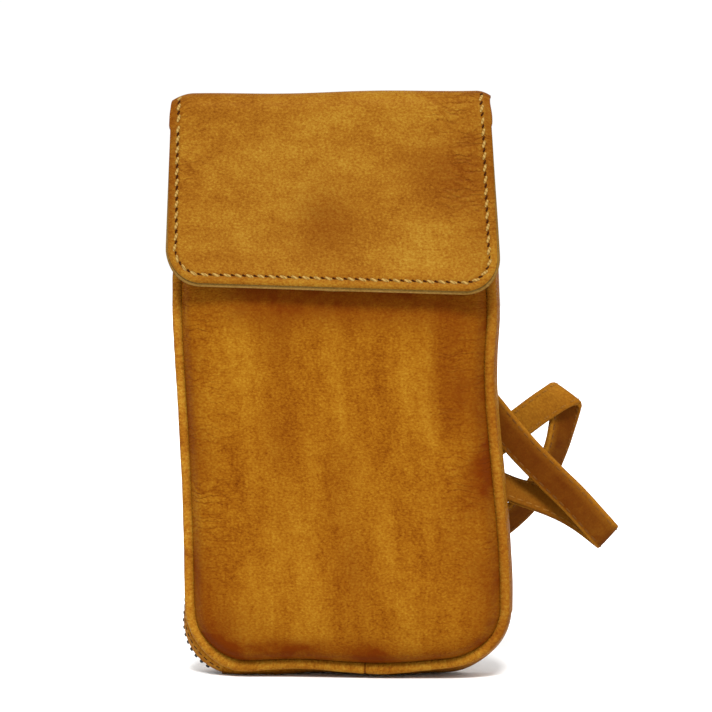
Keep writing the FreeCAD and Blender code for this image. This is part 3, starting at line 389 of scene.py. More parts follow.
def around(length):
    # point and outward direction on the pouch's outline, from the bottom's middle, up the left side and on
    s = length % AROUND
    for run, span in enumerate(RUNS):
        if s <= span or run == 8:
            break
        s -= span
    mirrored = run > 4
    if mirrored:
        run, s = 8 - run, span - s
    if run == 0:
        p, n = (-s, 0.0), (0.0, -1.0)
    elif run == 1:
        a = s / LOW_ROUND
        n = (-math.sin(a), -math.cos(a))
        p = (-DOWN + LOW_ROUND * n[0], LOW_ROUND + LOW_ROUND * n[1])
    elif run == 2:
        p, n = (-HALF, LOW_ROUND + s), (-1.0, 0.0)
    elif run == 3:
        a = s / TOP_ROUND
        n = (-math.cos(a), math.sin(a))
        p = (-HALF + TOP_ROUND + TOP_ROUND * n[0], TALL - TOP_ROUND + TOP_ROUND * n[1])
    else:
        p, n = (-HALF + TOP_ROUND + s, TALL), (0.0, 1.0)
    if mirrored:
        p, n = (-p[0], p[1]), (-n[0], n[1])
    return p, n


def loft(name, rings, material, marks, loop=False):
    # a closed skin over rings of points in mm, joined end to end or capped
    count, span = len(rings), len(rings[0])
    faces = []
    for i in range(count if loop else count - 1):
        k = (i + 1) % count
        for j in range(span):
            n = (j + 1) % span
            faces.append([i * span + j, i * span + n, k * span + n, k * span + j])
    if not loop:
        faces.append(list(range(span)))
        faces.append([(count - 1) * span + j for j in range(span)])
    return make(name, np.concatenate(rings), faces, material, marks)


def sweep(name, lengths, section, material, dark, loop=False):
    # carries a section, a function of the length, along the outline; its points are (outwards, depth) in mm
    rings, hide, tone = [], [], []
    for s in lengths:
        (px, pz), (nx, nz) = around(s)
        shape = section(s)
        rings.append(np.array([(px + nx * out, depth, pz + nz * out) for out, depth in shape]))
        steps = np.hypot(*np.diff(np.array(shape), axis=0).T)
        hide += [(c, s, 400.0) for c in np.concatenate([[0.0], np.cumsum(steps)])]
        tone += [dark(s)] * len(shape)
    rings = [slouch(ring) for ring in rings]
    marks = {"hide": np.array(hide), "tone": np.array(tone), "worn": np.full(len(tone), 0.3)}
    return loft(name, rings, material, marks, loop)


PIPING_SHADES = ("#623308", "#74430C", "#835312", "#8F641C", "#9A7427")
piping_hide = cowhide("waxed_cowhide_piping", PIPING_SHADES, BURNT_AND_SHADE, (20.0, 16.0, 20.0), 0.45)
ROLL, SEAM, PIPED = 1.8, 8.6, DOWN + LOW_ARC + SIDE + 5.8
for label, depth, first, last in (
    ("front_piping", -SEAM, PIPED, -PIPED),
    ("rear_piping", SEAM, 0.0, AROUND),
):
    loop = label == "rear_piping"
    lengths = np.linspace(first, last, 420)[:-1]
    if not loop:
        lengths = np.sort(np.concatenate([lengths, np.linspace(-7.2, -4.8, 17)]))

    def joint(s):
        # the front roll's butt joint, 6 mm from the middle of the bottom
        return 0.0 if loop else float(hump(s, -6.0, 0.35))

    def burnish_and_shade(s):
        # darker at the butt joint, and darker and redder along the right side, where it is painted shade for
        # light falling from the left
        return joint(s) + (0.0 if loop else 0.34 * float(smooth((-s - 40) / 20)))

    def section(s):
        # slightly flattened roll with cross-creases and, in front, a dent at the butt joint
        fine, slow = noise.noise(Vector((s / 3.1, depth, 0))), noise.noise(Vector((s / 11, depth, 4)))
        low = 0.35 * smooth(1 - around(s)[0][1] / 22)
        r = ROLL + 0.10 * fine + 0.10 * slow + low - 0.3 * joint(s)
        turn = np.linspace(np.pi, 3 * np.pi, 20)[:-1]
        return [(-ROLL - low + r * math.cos(a), depth + r * 1.04 * math.sin(a)) for a in turn]

    roll = sweep(label + "_roll", lengths, section, piping_hide, burnish_and_shade, loop)
    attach(roll, "pouch")
    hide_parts(label)


# Gusset and zip strips: plain strips of hide, 1.4 mm thick. The gusset closes the right side and the bottom.
# The two narrow strips, of the piping's paler hide, hold the zip up the left side and along the top, with a
# stitched edge beside the teeth.
ZIP_START, ZIP_END, STRIP_EDGE, ZIP_EDGE, STRIP_THICK, BUTTED = 40.2, 306.1, 6.7, 3.3, 1.4, 0.02
GOLD_SHADES = ("#592D04", "#6A3B07", "#794A0C", "#855B15", "#906B20")
gusset_hide = cowhide("waxed_cowhide_gusset", GOLD_SHADES, BURNT_AND_SHADE, (16.0, 40.0, 16.0))
plain = np.linspace(ZIP_END + BUTTED, AROUND + ZIP_START - BUTTED, 240)
zipped = np.linspace(ZIP_START + BUTTED, ZIP_END - BUTTED, 260)
for label, lengths, near, far, node, leather in (
    ("gusset_strip", plain, -STRIP_EDGE, STRIP_EDGE, "gusset", gusset_hide),
    ("zip_edge_front", zipped, -STRIP_EDGE, -ZIP_EDGE, "zip_strip_front", piping_hide),
    ("zip_edge_rear", zipped, ZIP_EDGE, STRIP_EDGE, "zip_strip_rear", piping_hide),
):

    def section(s):
        # a strip that bellies out a little between its seams
        belly = [0.12 * (far - near) / 3.4 * math.sin(math.pi * t) for t in np.linspace(0.04, 0.96, 9)]
        depths = np.linspace(near + 0.12, far - 0.12, 9)
        puff = 1 + 0.5 * noise.noise(Vector((s / 14, near, 1)))
        outer = [(-0.05 + b * puff, d) for b, d in zip(belly, depths)]
        inner = [(-STRIP_THICK + b * puff, d) for b, d in zip(belly[::-1], depths[::-1])]
        return [(-STRIP_THICK / 2, near)] + outer + [(-STRIP_THICK / 2, far)] + inner

    strip = sweep(label, lengths, section, leather, lambda s: 0.10)
    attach(strip, "pouch")
    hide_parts(node)


def thread(name, light, dark):
    # Twisted waxed linen: the twist, 0.7 mm a turn, shows as slanting dark lines.
    material, tree, surface = blank(name)
    place = add(tree, "TexCoord", {}, {}).outputs["Object"]
    twist = {"Vector": place, "Scale": 2 * math.pi / 0.0007 / 20, "Distortion": 1.0}
    strand = add(tree, "TexWave", {"bands_direction": "DIAGONAL"}, twist).outputs["Fac"]
    ramp = add(tree, "ValToRGB", {}, {"Fac": strand})
    for stop, shade in zip(ramp.color_ramp.elements, (dark, light)):
        stop.color = linear(shade)
    bump = add(tree, "Bump", {}, {"Strength": 0.5, "Distance": 0.0001, "Height": strand})
    feed(tree, surface, {"Base Color": ramp.outputs["Color"], "Normal": bump.outputs["Normal"]})
    feed(tree, surface, {"Roughness": 0.7, "Specular IOR Level": 0.1})
    return material


def copies(name, shape, places, material, marks):
    # many like pieces in one mesh; a place is an origin and three directions
    points, faces = shape
    found, skin = [], []
    for k, (origin, *directions) in enumerate(places):
        found.append(np.array(origin) + np.array(points) @ np.array(directions, float))
        skin += [[k * len(points) + corner for corner in face] for face in faces]
    marks = {k: np.tile(v, (len(places),) + (1,) * (np.ndim(v) - 1)) for k, v in marks.items()}
    return make(name, np.concatenate(found), skin, material, marks)


def pill(long, wide, high, steps=6, sides=8, square=1.0):
    # a small rounded bar along its first direction, for stitches, teeth and stops; squarer below 1
    points, faces = [], []
    for i in range(steps):
        a = math.pi * (0.04 + 0.92 * i / (steps - 1))
        r = math.sin(a) ** 0.45
        for j in range(sides):
            b = 2 * math.pi * (j + 0.5) / sides
            across = math.copysign(abs(math.cos(b)) ** square, math.cos(b))
            up = math.copysign(abs(math.sin(b)) ** square, math.sin(b))
            points.append((-long / 2 * math.cos(a), wide / 2 * r * across, high / 2 * r * up))
    for i in range(steps - 1):
        for j in range(sides):
            n = (j + 1) % sides
            faces.append([i * sides + j, i * sides + n, (i + 1) * sides + n, (i + 1) * sides + j])
    faces.append(list(range(sides)))
    faces.append([(steps - 1) * sides + j for j in range(sides)])
    return points, faces


def station(s):
    # a point on the outline, the point half a millimetre on, and the direction outwards
    ((px, pz), (nx, nz)), ((qx, qz), _) = around(s), around(s + 0.5)
    return np.array([px, 0.0, pz]), np.array([qx, 0.0, qz]), np.array([nx, 0.0, nz])


STRIP_SEAM, STRIP_STITCH = 5.6, 2.3
strip_thread = thread("dark_linen_thread", "#4A2F12", "#2C1906")
for label, hand in (("front", -1), ("rear", 1)):
    places = []
    for s in np.arange(ZIP_START + 1.5, ZIP_END - 1.0, STRIP_STITCH):
        at, then, outward = station(s)
        at, then = slouch(np.array([at, then]) + (0.0, hand * STRIP_SEAM, 0.0))
        ahead = (then - at) / np.linalg.norm(then - at)
        out = np.cross(ahead, (0.0, 1.0, 0.0))
        out *= np.sign(out @ outward)
        places.append((at + 0.08 * out, ahead, (0, 1, 0), out))
    sewn = copies("zip_edge_stitches_" + label, pill(1.5, 0.5, 0.4), places, strip_thread, {})
    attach(sewn, "pouch")


# Zip: two woven polyester tapes, each with a row of separate cast teeth in dark gunmetal finish, half a
# pitch apart, with a bottom stop, two top stops, a slider, and a flat pull on the slider's loop.
def gunmetal(name, tint, bright, rough):
    # Zinc alloy or steel with a dark plated finish, rubbed brighter in places: metallic, finely scratched.
    material, tree, surface = blank(name)
    place = add(tree, "TexCoord", {}, {}).outputs["Object"]
    worn = {"Vector": place, "Scale": 1 / 0.0022, "Detail": 4.0, "Roughness": 0.6}
    rub = add(tree, "TexNoise", {}, worn).outputs["Fac"]
    fine = add(tree, "TexNoise", {}, {"Vector": place, "Scale": 1 / 0.0004, "Detail": 2.0})
    ramp = add(tree, "ValToRGB", {}, {"Fac": rub})
    for stop, share, shade in zip(ramp.color_ramp.elements, (0.35, 0.72), (tint, bright)):
        stop.position = share
        stop.color = linear(shade)
    span = {"From Min": 0.3, "From Max": 0.7, "To Min": rough + 0.1, "To Max": rough - 0.08}
    gloss = add(tree, "MapRange", {}, {"Value": rub, **span})
    bump = add(tree, "Bump", {}, {"Strength": 0.25, "Distance": 0.00006, "Height": fine.outputs["Fac"]})
    feed(tree, surface, {"Base Color": ramp.outputs["Color"], "Roughness": gloss.outputs["Result"]})
    feed(tree, surface, {"Metallic": 1.0, "Normal": bump.outputs["Normal"]})
    return material


tooth_metal = gunmetal("gunmetal_zinc", "#1F2124", "#3F4143", 0.40)
tape_cloth = twill("polyester_zip_tape", "#6A4820", "#40280E", 0.9, 0.0)
TAPE_FACE, TAPE_BACK, TAPE_NEAR, TAPE_FAR = -1.55, -1.95, 1.0, 4.6
TEETH, PITCH, ROOT, OVER, THICK, TOOTH_HIGH, TOOTH_DEEP = 114, 2.2, 2.2, 0.9, 0.75, 2.3, 0.9
FIRST_TOOTH = ZIP_START + 4.0
taped = np.linspace(ZIP_START, ZIP_END, 260)
for label, hand in (("front", -1), ("rear", 1)):

    def section(s):
        near, far = hand * TAPE_NEAR, hand * TAPE_FAR
        return [(TAPE_FACE, near), (TAPE_FACE, far), (TAPE_BACK, far), (TAPE_BACK, near)]

    tape = sweep("zip_tape_weave_" + label, taped, section, tape_cloth, lambda s: 0.0)
    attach(tape, "pouch")
    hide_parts("zip_tape_" + label)
    places = []
    for k in range(TEETH):
        at, then, out = station(FIRST_TOOTH + (k + (0.25 if hand < 0 else 0.75)) * PITCH)
        ahead = (then - at) / np.linalg.norm(then - at)
        middle = at - TOOTH_DEEP * out + (0.0, hand * (ROOT - OVER) / 2, 0.0)
        places.append((slouch(middle), (0, hand, 0), ahead, out))
    points, faces = pill(ROOT + OVER, THICK, TOOTH_HIGH, 8, 12, 0.55)
    head = [(p[0], p[1] * 1.3, p[2] * 0.8) if p[0] < -0.3 else (p[0], p[1] * 1.8, p[2]) for p in points]
    row = copies("zip_teeth_row_" + label, (head, faces), places, tooth_metal, {})
    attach(row, "pouch")
    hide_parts("zip_teeth_" + label)
for label, s, sides, deep, size in (
    ("zip_bottom_stop", ZIP_START + 1.8, (0,), 1.6, (3.0, 4.2, 1.7)),
    ("zip_top_stops", ZIP_END - 0.9, (-1, 1), 0.9, (2.0, 1.3, 2.5)),
):
    at, then, out = station(s)
    ahead = (then - at) / np.linalg.norm(then - at)
    sunk = [slouch(at - deep * out + (0.0, 1.55 * k, 0.0)) for k in sides]
    spots = [(place, ahead, (0, 1, 0), out) for place in sunk]
    stop = copies(label + "_clamp", pill(*size, 8, 10), spots, tooth_metal, {})
    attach(stop, "pouch")
    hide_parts(label)
for label in ("zip_slider", "zip_pull"):
    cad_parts[label].data.materials.clear()
    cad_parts[label].data.materials.append(tooth_metal)


# Middle panel: one flat piece of the hide between the pocket and the zipped compartment. Its top edge
# carries the flap's bend.
x, z, gap = panel_grid(3.7, None, 1.4, 60)
y = -8.15 + 0.1 * ripple(xyz(x, z, 0.0), 24.0, 5.5)
middle_face, hide, tone = slouch(xyz(x, y, z)), xyz(x, z, 300.0), 0.3 * np.exp(-gap / 4)
middle_panel = thick_sheet("middle_panel_hide", middle_face, 1.3, body_hide, hide, tone)
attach(middle_panel, "pouch")
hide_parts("middle_panel")


# Front panel: the softly domed leather front of the phone pocket, with round shoulders, sewn in with the
# piping on three sides and open at the top, burnished darker and redder along its sides and its bottom.
# Below the flap's free edge a band of painted shade darkens it where the flap's shadow falls. The pocket's
# cotton bag follows it on the inside.
FACE, RIM, MOUTH_HIGH, SEWN_IN = -17.6, -9.9, 168.0, 3.2


def front_depth(x, z, gap):
    edge = np.sin(np.pi / 2 * np.clip(gap / 4.2, 0, 1))
    shoulder = 0.34 * edge + 0.66 * np.sqrt(1 - (1 - np.clip(gap / 22.0, 0, 1)) ** 2)
    dome = 1.5 * (1 - (x / HALF) ** 2) * smooth((118 - z) / 50) * smooth((z - 2) / 30)
    soft = 0.32 * ripple(xyz(x, z * 0.6, 0.0), 19.0, 1.3) * smooth((126 - z) / 14) * smooth(gap / 8)
    return RIM + (FACE - RIM) * shoulder - dome - soft


x, z, gap = panel_grid(SEWN_IN, MOUTH_HIGH, 1.9, 110)
aside = np.clip(HALF - SEWN_IN - np.abs(x), 0, None)
# darker along both sides: burnish at the edges; the stronger, wider darkening on the right, growing upwards,
# is painted shade for light falling from the left
sides = hump(aside, 0.0, np.where(x < 0, 7.5, 12.0))
sides *= np.where(x < 0, 0.50, 0.55 + 0.45 * smooth((z - 40) / 30))
corner = hump(x, -41, 12) * hump(z, 13, 13)
foot = smooth((14.5 - z) / 7.0) * (1 - 0.55 * smooth((x - 22) / 16))
streaks = hump(x, -17, 6) * hump(z, 95, 30) + hump(x, 2, 7) * hump(z, 45, 25)
patchy = np.clip(0.8 + 1.1 * ripple(xyz(x, z * 0.6, 0.0), 12.0, 7.7), 0.15, None)
tone = (sides + 0.64 * corner + 0.95 * foot + 0.30 * streaks) * patchy
# painted shade: a dark band round the flap's free edge, darkest just below it, where the flap's shadow falls
rubbed_and_shaded = smooth((z - 107) / 15) * (1 - 0.85 * smooth((z - 121) / 30))
tone += 0.80 * rubbed_and_shaded * smooth((48 - np.abs(x)) / 24)
front_face = slouch(xyz(x, front_depth(x, z, gap), z + 0.9 * np.exp(-(z - SEWN_IN) / 9)))
worn = 0.55 * smooth((np.abs(x) - 22) / 20) * smooth((z - 20) / 30)
worn = np.clip(worn * (0.7 + 0.9 * ripple(xyz(x, z, 0.0), 9.0, 2.2)) + 0.05, 0, 1)
front_panel = thick_sheet("front_panel_hide", front_face, 1.35, body_hide, xyz(x, z, 0.0), tone, worn)
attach(front_panel, "pouch")
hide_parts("front_panel")
x, z, gap = panel_grid(5.4, MOUTH_HIGH - 0.9, 1.5, 60)
y = np.minimum(front_depth(x, z, gap + 1.6) + 1.75, -8.9)
bag_face, hide = slouch(xyz(x, y, z)), xyz(x, z, 50.0)
pocket_bag = thick_sheet("pocket_lining_bag", bag_face, 0.4, lining_cloth, hide, 0 * x)
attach(pocket_bag, "pouch")
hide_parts("pocket_lining")


# Snap: a thin round magnetic snap in the same gunmetal, its socket on the front panel and its stud under
# the flap.
SNAP_HIGH = 136.0
snap_metal = gunmetal("gunmetal_snap", "#4B4B4A", "#686868", 0.3)


def turned(name, profile, material):
    # a turned piece about the snap's axis, from (radius, depth) in mm
    angles = np.linspace(0, 2 * np.pi, 49)[:-1]
    rings = [xyz(r * np.cos(angles), d, SNAP_HIGH + r * np.sin(angles)) for r, d in profile]
    return loft(name, rings, material, {})


socket_profile = [(0.2, -17.7), (6.9, -17.7), (7.0, -18.2), (6.6, -18.8), (5.4, -18.98), (3.2, -18.9)]
socket_profile += [(2.6, -18.5), (2.4, -17.95), (0.2, -17.9)]
stud_profile = [(0.2, -20.55), (6.9, -20.55), (7.0, -20.1), (6.6, -19.5), (5.2, -19.25), (2.3, -19.22)]
stud_profile += [(2.1, -18.6), (1.7, -18.3), (0.2, -18.25)]
for label, profile, body in (("snap_socket", socket_profile, "pouch"), ("snap_stud", stud_profile, "flap")):
    half = turned(label + "_turned", profile, snap_metal)
    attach(half, body)
    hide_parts(label)


# Flap: a stiff outer piece of the hide over a thinner inner piece, wider at the free edge, with round lower
# corners. It bends over the top of the middle panel and hangs clear of the front panel; its edges are
# painted and waxed.
FLAP_LOW, FLAP_ROUND, FLAP_HALF, FLARE, FLAP_SEAM = 124.9, 11.0, 50.2, 2.2, 2.7
HINGE_Y, HINGE_Z, BEND, SQUARED = -14.8, 177.9, 8.0, 0.72
BEND_START, BEND_END = (0, -0.0086, HINGE_Z / 1000), (0, -0.0205, HINGE_Z / 1000)


def flap_grid(margin, inward, columns=110):
    # rows from the root over the bend and down to the free edge: points and distance from the cut edges
    r, low = FLAP_ROUND - margin, FLAP_LOW + margin
    radius = BEND - inward
    profile = [(HINGE_Y + radius, z) for z in np.linspace(174.6, HINGE_Z, 5)[:-1]]
    for a in np.linspace(0, math.pi, 30):
        square = SQUARED if a > math.pi / 2 else 1.0
        ahead, up = math.copysign(abs(math.cos(a)) ** square, math.cos(a)), math.sin(a) ** square
        profile.append((HINGE_Y + radius * ahead, HINGE_Z + radius * up))
    drop = list(np.linspace(HINGE_Z, low + r, 40)[1:])
    drop += [low + r * (1 - math.sin(a)) for a in np.linspace(0, math.pi / 2, 16)[1:]]
    profile += [(HINGE_Y - radius, z) for z in drop]
    yz = np.array(profile)
    run = np.concatenate([[0], np.cumsum(np.hypot(*np.diff(yz, axis=0).T))])
    z = yz[:, 1]
    hanging = np.clip((HINGE_Z - z) / (HINGE_Z - FLAP_LOW), 0, 1) * (yz[:, 0] < HINGE_Y)
    rooted = smooth((yz[:, 0] - HINGE_Y) / radius)
    wide = FLAP_HALF + FLARE * hanging - 1.7 * rooted - margin
    corner = (z < low + r) & (yz[:, 0] < HINGE_Y)
    reach = wide.copy()
    reach[corner] = wide[corner] - r + np.sqrt(np.clip(r * r - (low + r - z[corner]) ** 2, 0, None))
    t = np.linspace(-1, 1, columns)
    share = np.sign(t) * (1 - (1 - np.abs(t)) ** 1.7)
    x = reach[:, None] * share
    y, z = (np.repeat(c[:, None], columns, 1) for c in (yz[:, 0], z))
    side = np.abs(x) - (wide[:, None] - r)
    down = np.where(y < HINGE_Y, low + r - z, -1.0)
    gap = np.minimum(wide[:, None] - np.abs(x), np.where(y < HINGE_Y, z - low, 60.0))
    gap = np.where((side > 0) & (down > 0), r - np.hypot(side, down), gap)
    return x, y, z, np.clip(gap, 0, None), np.repeat(run[:, None], columns, 1)


def hang(x, y, z):
    # the worn flap: higher and longer on the right, slightly wavy, its ends rounded off at the bend
    hanging = smooth((HINGE_Z - z) / 50) * (y < HINGE_Y)
    over = smooth((z - 168) / 10)
    z = z + (0.3 + 0.6 * x / 52) * over - 1.5 * x / 52 * hanging + 0.25 * np.sin(x / 9.0) * over
    left, right = np.clip(-x - 43.5, 0, None), np.clip(x - 45.5, 0, None)
    z = z - (0.045 * left**2 + 0.075 * right**2) * over
    y = y - 0.35 * hanging * np.sin(x / 17.0 + 0.8) - 0.5 * hanging * smooth((140 - z) / 16)
    y = y - 0.9 * hanging * smooth((132 - z) / 8)
    x = x + 0.5 * (1 - hanging) * (smooth(x / 50) * smooth((184 - z) / 6) - 1) + 0.3 * hanging
    return np.stack([x, y, z], -1)


FLAP_SHADES = ("#5A2F06", "#693D0A", "#764A10", "#815A18", "#8A6722")
flap_hide = cowhide("waxed_cowhide_flap", FLAP_SHADES, BURNT_AND_SHADE, (34.0, 17.0, 20.0), 0.48)
x, y, z, gap, run = flap_grid(0.0, 0.0)
# the blotch in the middle is the hide's own colour; the patch high on the right and the darker right edge
# are painted shade for light falling from the left
blotches_and_right_shade = hump(x, -2, 9) * hump(z, 146, 10) + 0.9 * hump(x, 36, 11) * hump(z, 161, 10)
tone = 0.42 * blotches_and_right_shade * (y < HINGE_Y) + 0.18 * np.exp(-((x - 48) ** 2) / 70.0)
tone = tone * smooth((gap - 1.0) / 4.0) + 0.30 * hump(gap, FLAP_SEAM, 0.5)
margin = smooth((2.4 - gap) / 1.0) * smooth((z - 132) / 14)
tone += 0.42 * margin * np.where(x < 0, 1.0, smooth((z - 146) / 16))
groove = 0.42 * hump(gap, FLAP_SEAM, 0.75)
round_over = 0.85 * np.clip(1 - gap / 1.5, 0, 1) ** 2
y = np.where(y < HINGE_Y, y + (groove + round_over) * smooth((HINGE_Z - z) / 3), y)
worn = smooth((x - 24) / 18) * smooth((z - 136) / 12)
worn += 0.6 * smooth((-x - 30) / 16) * smooth((z - 146) / 14)
worn = np.clip(worn * (0.6 + 0.9 * ripple(xyz(x, run, 0.0), 8.0, 4.4)) + 0.06, 0, 1)
flat = [part[:, ::-1] for part in (hang(x, y, z), xyz(x, -run, 90.0), tone, worn)]
flap_leather = thick_sheet("flap_hide", flat[0], 1.35, flap_hide, *flat[1:])
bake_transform(flap_leather)
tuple(BEND_START)
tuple(BEND_END)
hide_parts("flap_leather", "flap_fold")
LINING_SHADES = ("#5E4318", "#6B5023", "#785D2D", "#84693A")
inner_hide = cowhide("calf_lining", LINING_SHADES, "#452606", (20.0, 20.0, 20.0), 0.65)
x, y, z, gap, run = flap_grid(-0.55, 1.45)
x = x * (1 - 0.015 * smooth((z - 130) / 50))
z = z - 0.55 * smooth((134 - z) / 8) * (y < HINGE_Y)
flat = [part[:, ::-1] for part in (hang(x, y, z), xyz(x, -run, 130.0), 0.30 * np.exp(-gap / 2))]
flap_inner = thick_sheet("flap_inner_hide", flat[0], 0.75, inner_hide, *flat[1:])
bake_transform(flap_inner)
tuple(BEND_START)
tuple(BEND_END)
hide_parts("flap_lining")


# Flap stitching: waxed linen thread in one row, left, bottom and right, 3.5 mm a stitch, drawn down into the
# hide, with a needle hole between one stitch and the next, drawn as a dark mark of painted shade.
STITCHES, UNDER_BEND = 53, 2.0


def flap_seam():
    # places of the stitches and of the holes between them, from the bend down the left side, round the
    # corners, along the bottom and up again
    r, low, top = FLAP_ROUND - FLAP_SEAM, FLAP_LOW + FLAP_SEAM, HINGE_Z - UNDER_BEND
    wide, lean = FLAP_HALF + FLARE - FLAP_SEAM, FLARE / (HINGE_Z - FLAP_LOW)
    side, bend, base = top - low - r, r * math.pi / 2, 2 * (wide - r)
    total = 2 * (side + bend) + base
    stitch = total / STITCHES
    turn = np.linspace(0, math.pi / 2, 60)
    bent = BEND * np.stack([-np.cos(turn) ** SQUARED, np.sin(turn) ** SQUARED], 1)
    passed = np.concatenate([[0], np.cumsum(np.hypot(*np.diff(bent, axis=0).T))])
    rising = np.gradient(bent, axis=0)
    rising /= np.linalg.norm(rising, axis=1)[:, None]
    over_bend = np.concatenate([bent, rising], 1)
    for step in range(-6, 2 * STITCHES + 6):
        d = (step / 2 + 0.25) * stitch
        hand, d = (-1, d) if d < total / 2 else (1, total - d)
        depth, facing = -BEND, np.array([0.0, 1.0, 0.0])
        if d < -UNDER_BEND:
            depth, up, rear, high = (float(np.interp(-UNDER_BEND - d, passed, c)) for c in over_bend.T)
            place, way = (wide - FLARE, HINGE_Z + up), (0.0, -high)
            facing = np.array([0.0, high, -rear])
        elif d < side:
            place, way = (wide - lean * (top - d - low), top - d), (lean, -1.0)
        elif d < side + bend:
            a = (d - side) / r
            place = (wide - r + r * math.cos(a), low + r - r * math.sin(a))
            way = (-math.sin(a), -math.cos(a))
        else:
            place, way = (wide - r - (d - side - bend), low), (-1.0, 0.0)
        at = hang(np.array([hand * place[0]]), np.array([HINGE_Y + depth]), np.array([place[1]]))[0]
        slope = math.sqrt(max(0.0, 1 - way[0] ** 2 - way[1] ** 2))
        sunk = (0.22, 0.30)[step % 2] if d > -UNDER_BEND else -0.06
        yield step % 2, at + facing * sunk, np.array([way[0], -hand * slope, hand * way[1]]), facing


seams = {0: [], 1: []}
for kind, at, way, facing in flap_seam():
    slant = 0.32 if kind == 0 else 0.55
    aside = np.cross(facing, way)
    ahead = way * math.cos(slant) + aside * math.sin(slant)
    aside = np.cross(ahead, facing)
    seams[kind].append((at, ahead, aside, facing))
linen = thread("waxed_linen_thread", "#98793F", "#735725")
flap_stitches = copies("flap_stitches", pill(2.4, 0.9, 0.6), seams[0], linen, {})
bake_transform(flap_stitches)
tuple(BEND_START)
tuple(BEND_END)
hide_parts("flap_thread")
# painted shade: flat dark marks for the shade inside the needle holes
hole_shade_hide = cowhide("needle_hole_painted_shade", ("#1E0C03", "#2B1205", "#391A07"), "#1E0C03", (3.0, 3.0, 3.0))
hole_shape = pill(1.4, 0.7, 0.12)
hole_marks = {"hide": np.array(hole_shape[0]), "tone": np.zeros(len(hole_shape[0]))}
flap_holes = copies("flap_needle_holes", hole_shape, seams[1], hole_shade_hide, hole_marks)
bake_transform(flap_holes)
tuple(BEND_START)
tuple(BEND_END)


# Ring tabs: short straps of the hide, folded round the upper bar of each ring and sewn to the back panel
# with eight stitches.
TAB_HALF, TAB_THICK, TAB_LONG, TAB_INNER = 5.4, 1.1, 42.0, 10.65
TAB_SEAM, TAB_SEWN, TAB_STITCH = 4.2, 152.0, 2.9
EYE_Y, EYE_Z, EYE_ROUND = 12.6, 166.0, 2.02
tab_hide = cowhide("waxed_cowhide_tab", GOLD_SHADES, BURNT_AND_SHADE, (12.0, 20.0, 12.0), 0.48)
for name in ("left", "right"):
    low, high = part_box("ring_tab_" + name)
    path = [(TAB_INNER, z) for z in np.linspace(low.z * 1000, EYE_Z - 2.5, 9)]
    turn = np.linspace(-2.2, 2.2, 22)
    path += [(EYE_Y - EYE_ROUND * math.cos(a), EYE_Z + EYE_ROUND * math.sin(a)) for a in turn]
    path += [(EYE_Y - TAB_THICK / 2, z) for z in np.linspace(EYE_Z - 2.8, low.z * 1000 + 0.4, 9)]
    yz = np.array(path)
    way = np.gradient(yz, axis=0)
    way /= np.linalg.norm(way, axis=1)[:, None]
    t = np.linspace(-1, 1, 15)
    share = np.sign(t) * (1 - (1 - np.abs(t)) ** 1.5)
    middle = (low.x + high.x) * 500
    out = xyz(0.0, -way[:, 1], way[:, 0]) * TAB_THICK / 2
    grid = xyz(middle + TAB_HALF * share, yz[:, :1], yz[:, 1:]) + out[:, None, :]
    length = np.repeat(np.linspace(0, TAB_LONG, len(yz))[:, None], len(share), 1)
    marks = xyz(grid[..., 0], length, 500.0)
    tab = thick_sheet("ring_tab_hide_" + name, grid, TAB_THICK, tab_hide, marks, 0.1 + 0 * length)
    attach(tab, "pouch")
    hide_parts("ring_tab_" + name)
    spots = []
    for k in range(4):
        for hand in (-1, 1):
            spot = (middle + hand * TAB_SEAM, EYE_Y + 0.1, TAB_SEWN + TAB_STITCH * k)
            spots.append((spot, (0, 0, 1), (1, 0, 0), (0, 1, 0)))
    sewn = copies("ring_tab_stitches_" + name, pill(2.1, 0.65, 0.5), spots, linen, {})
    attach(sewn, "pouch")


# Rings: rectangles of bent and welded steel wire, 2.4 mm thick, plated dark. They hang in the tabs and
# carry the strap's ends.
ring_metal = gunmetal("gunmetal_steel_wire", "#4A4A48", "#8C8B86", 0.28)
for label in ("ring_left", "ring_right"):
    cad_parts[label].data.materials.clear()
    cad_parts[label].data.materials.append(ring_metal)

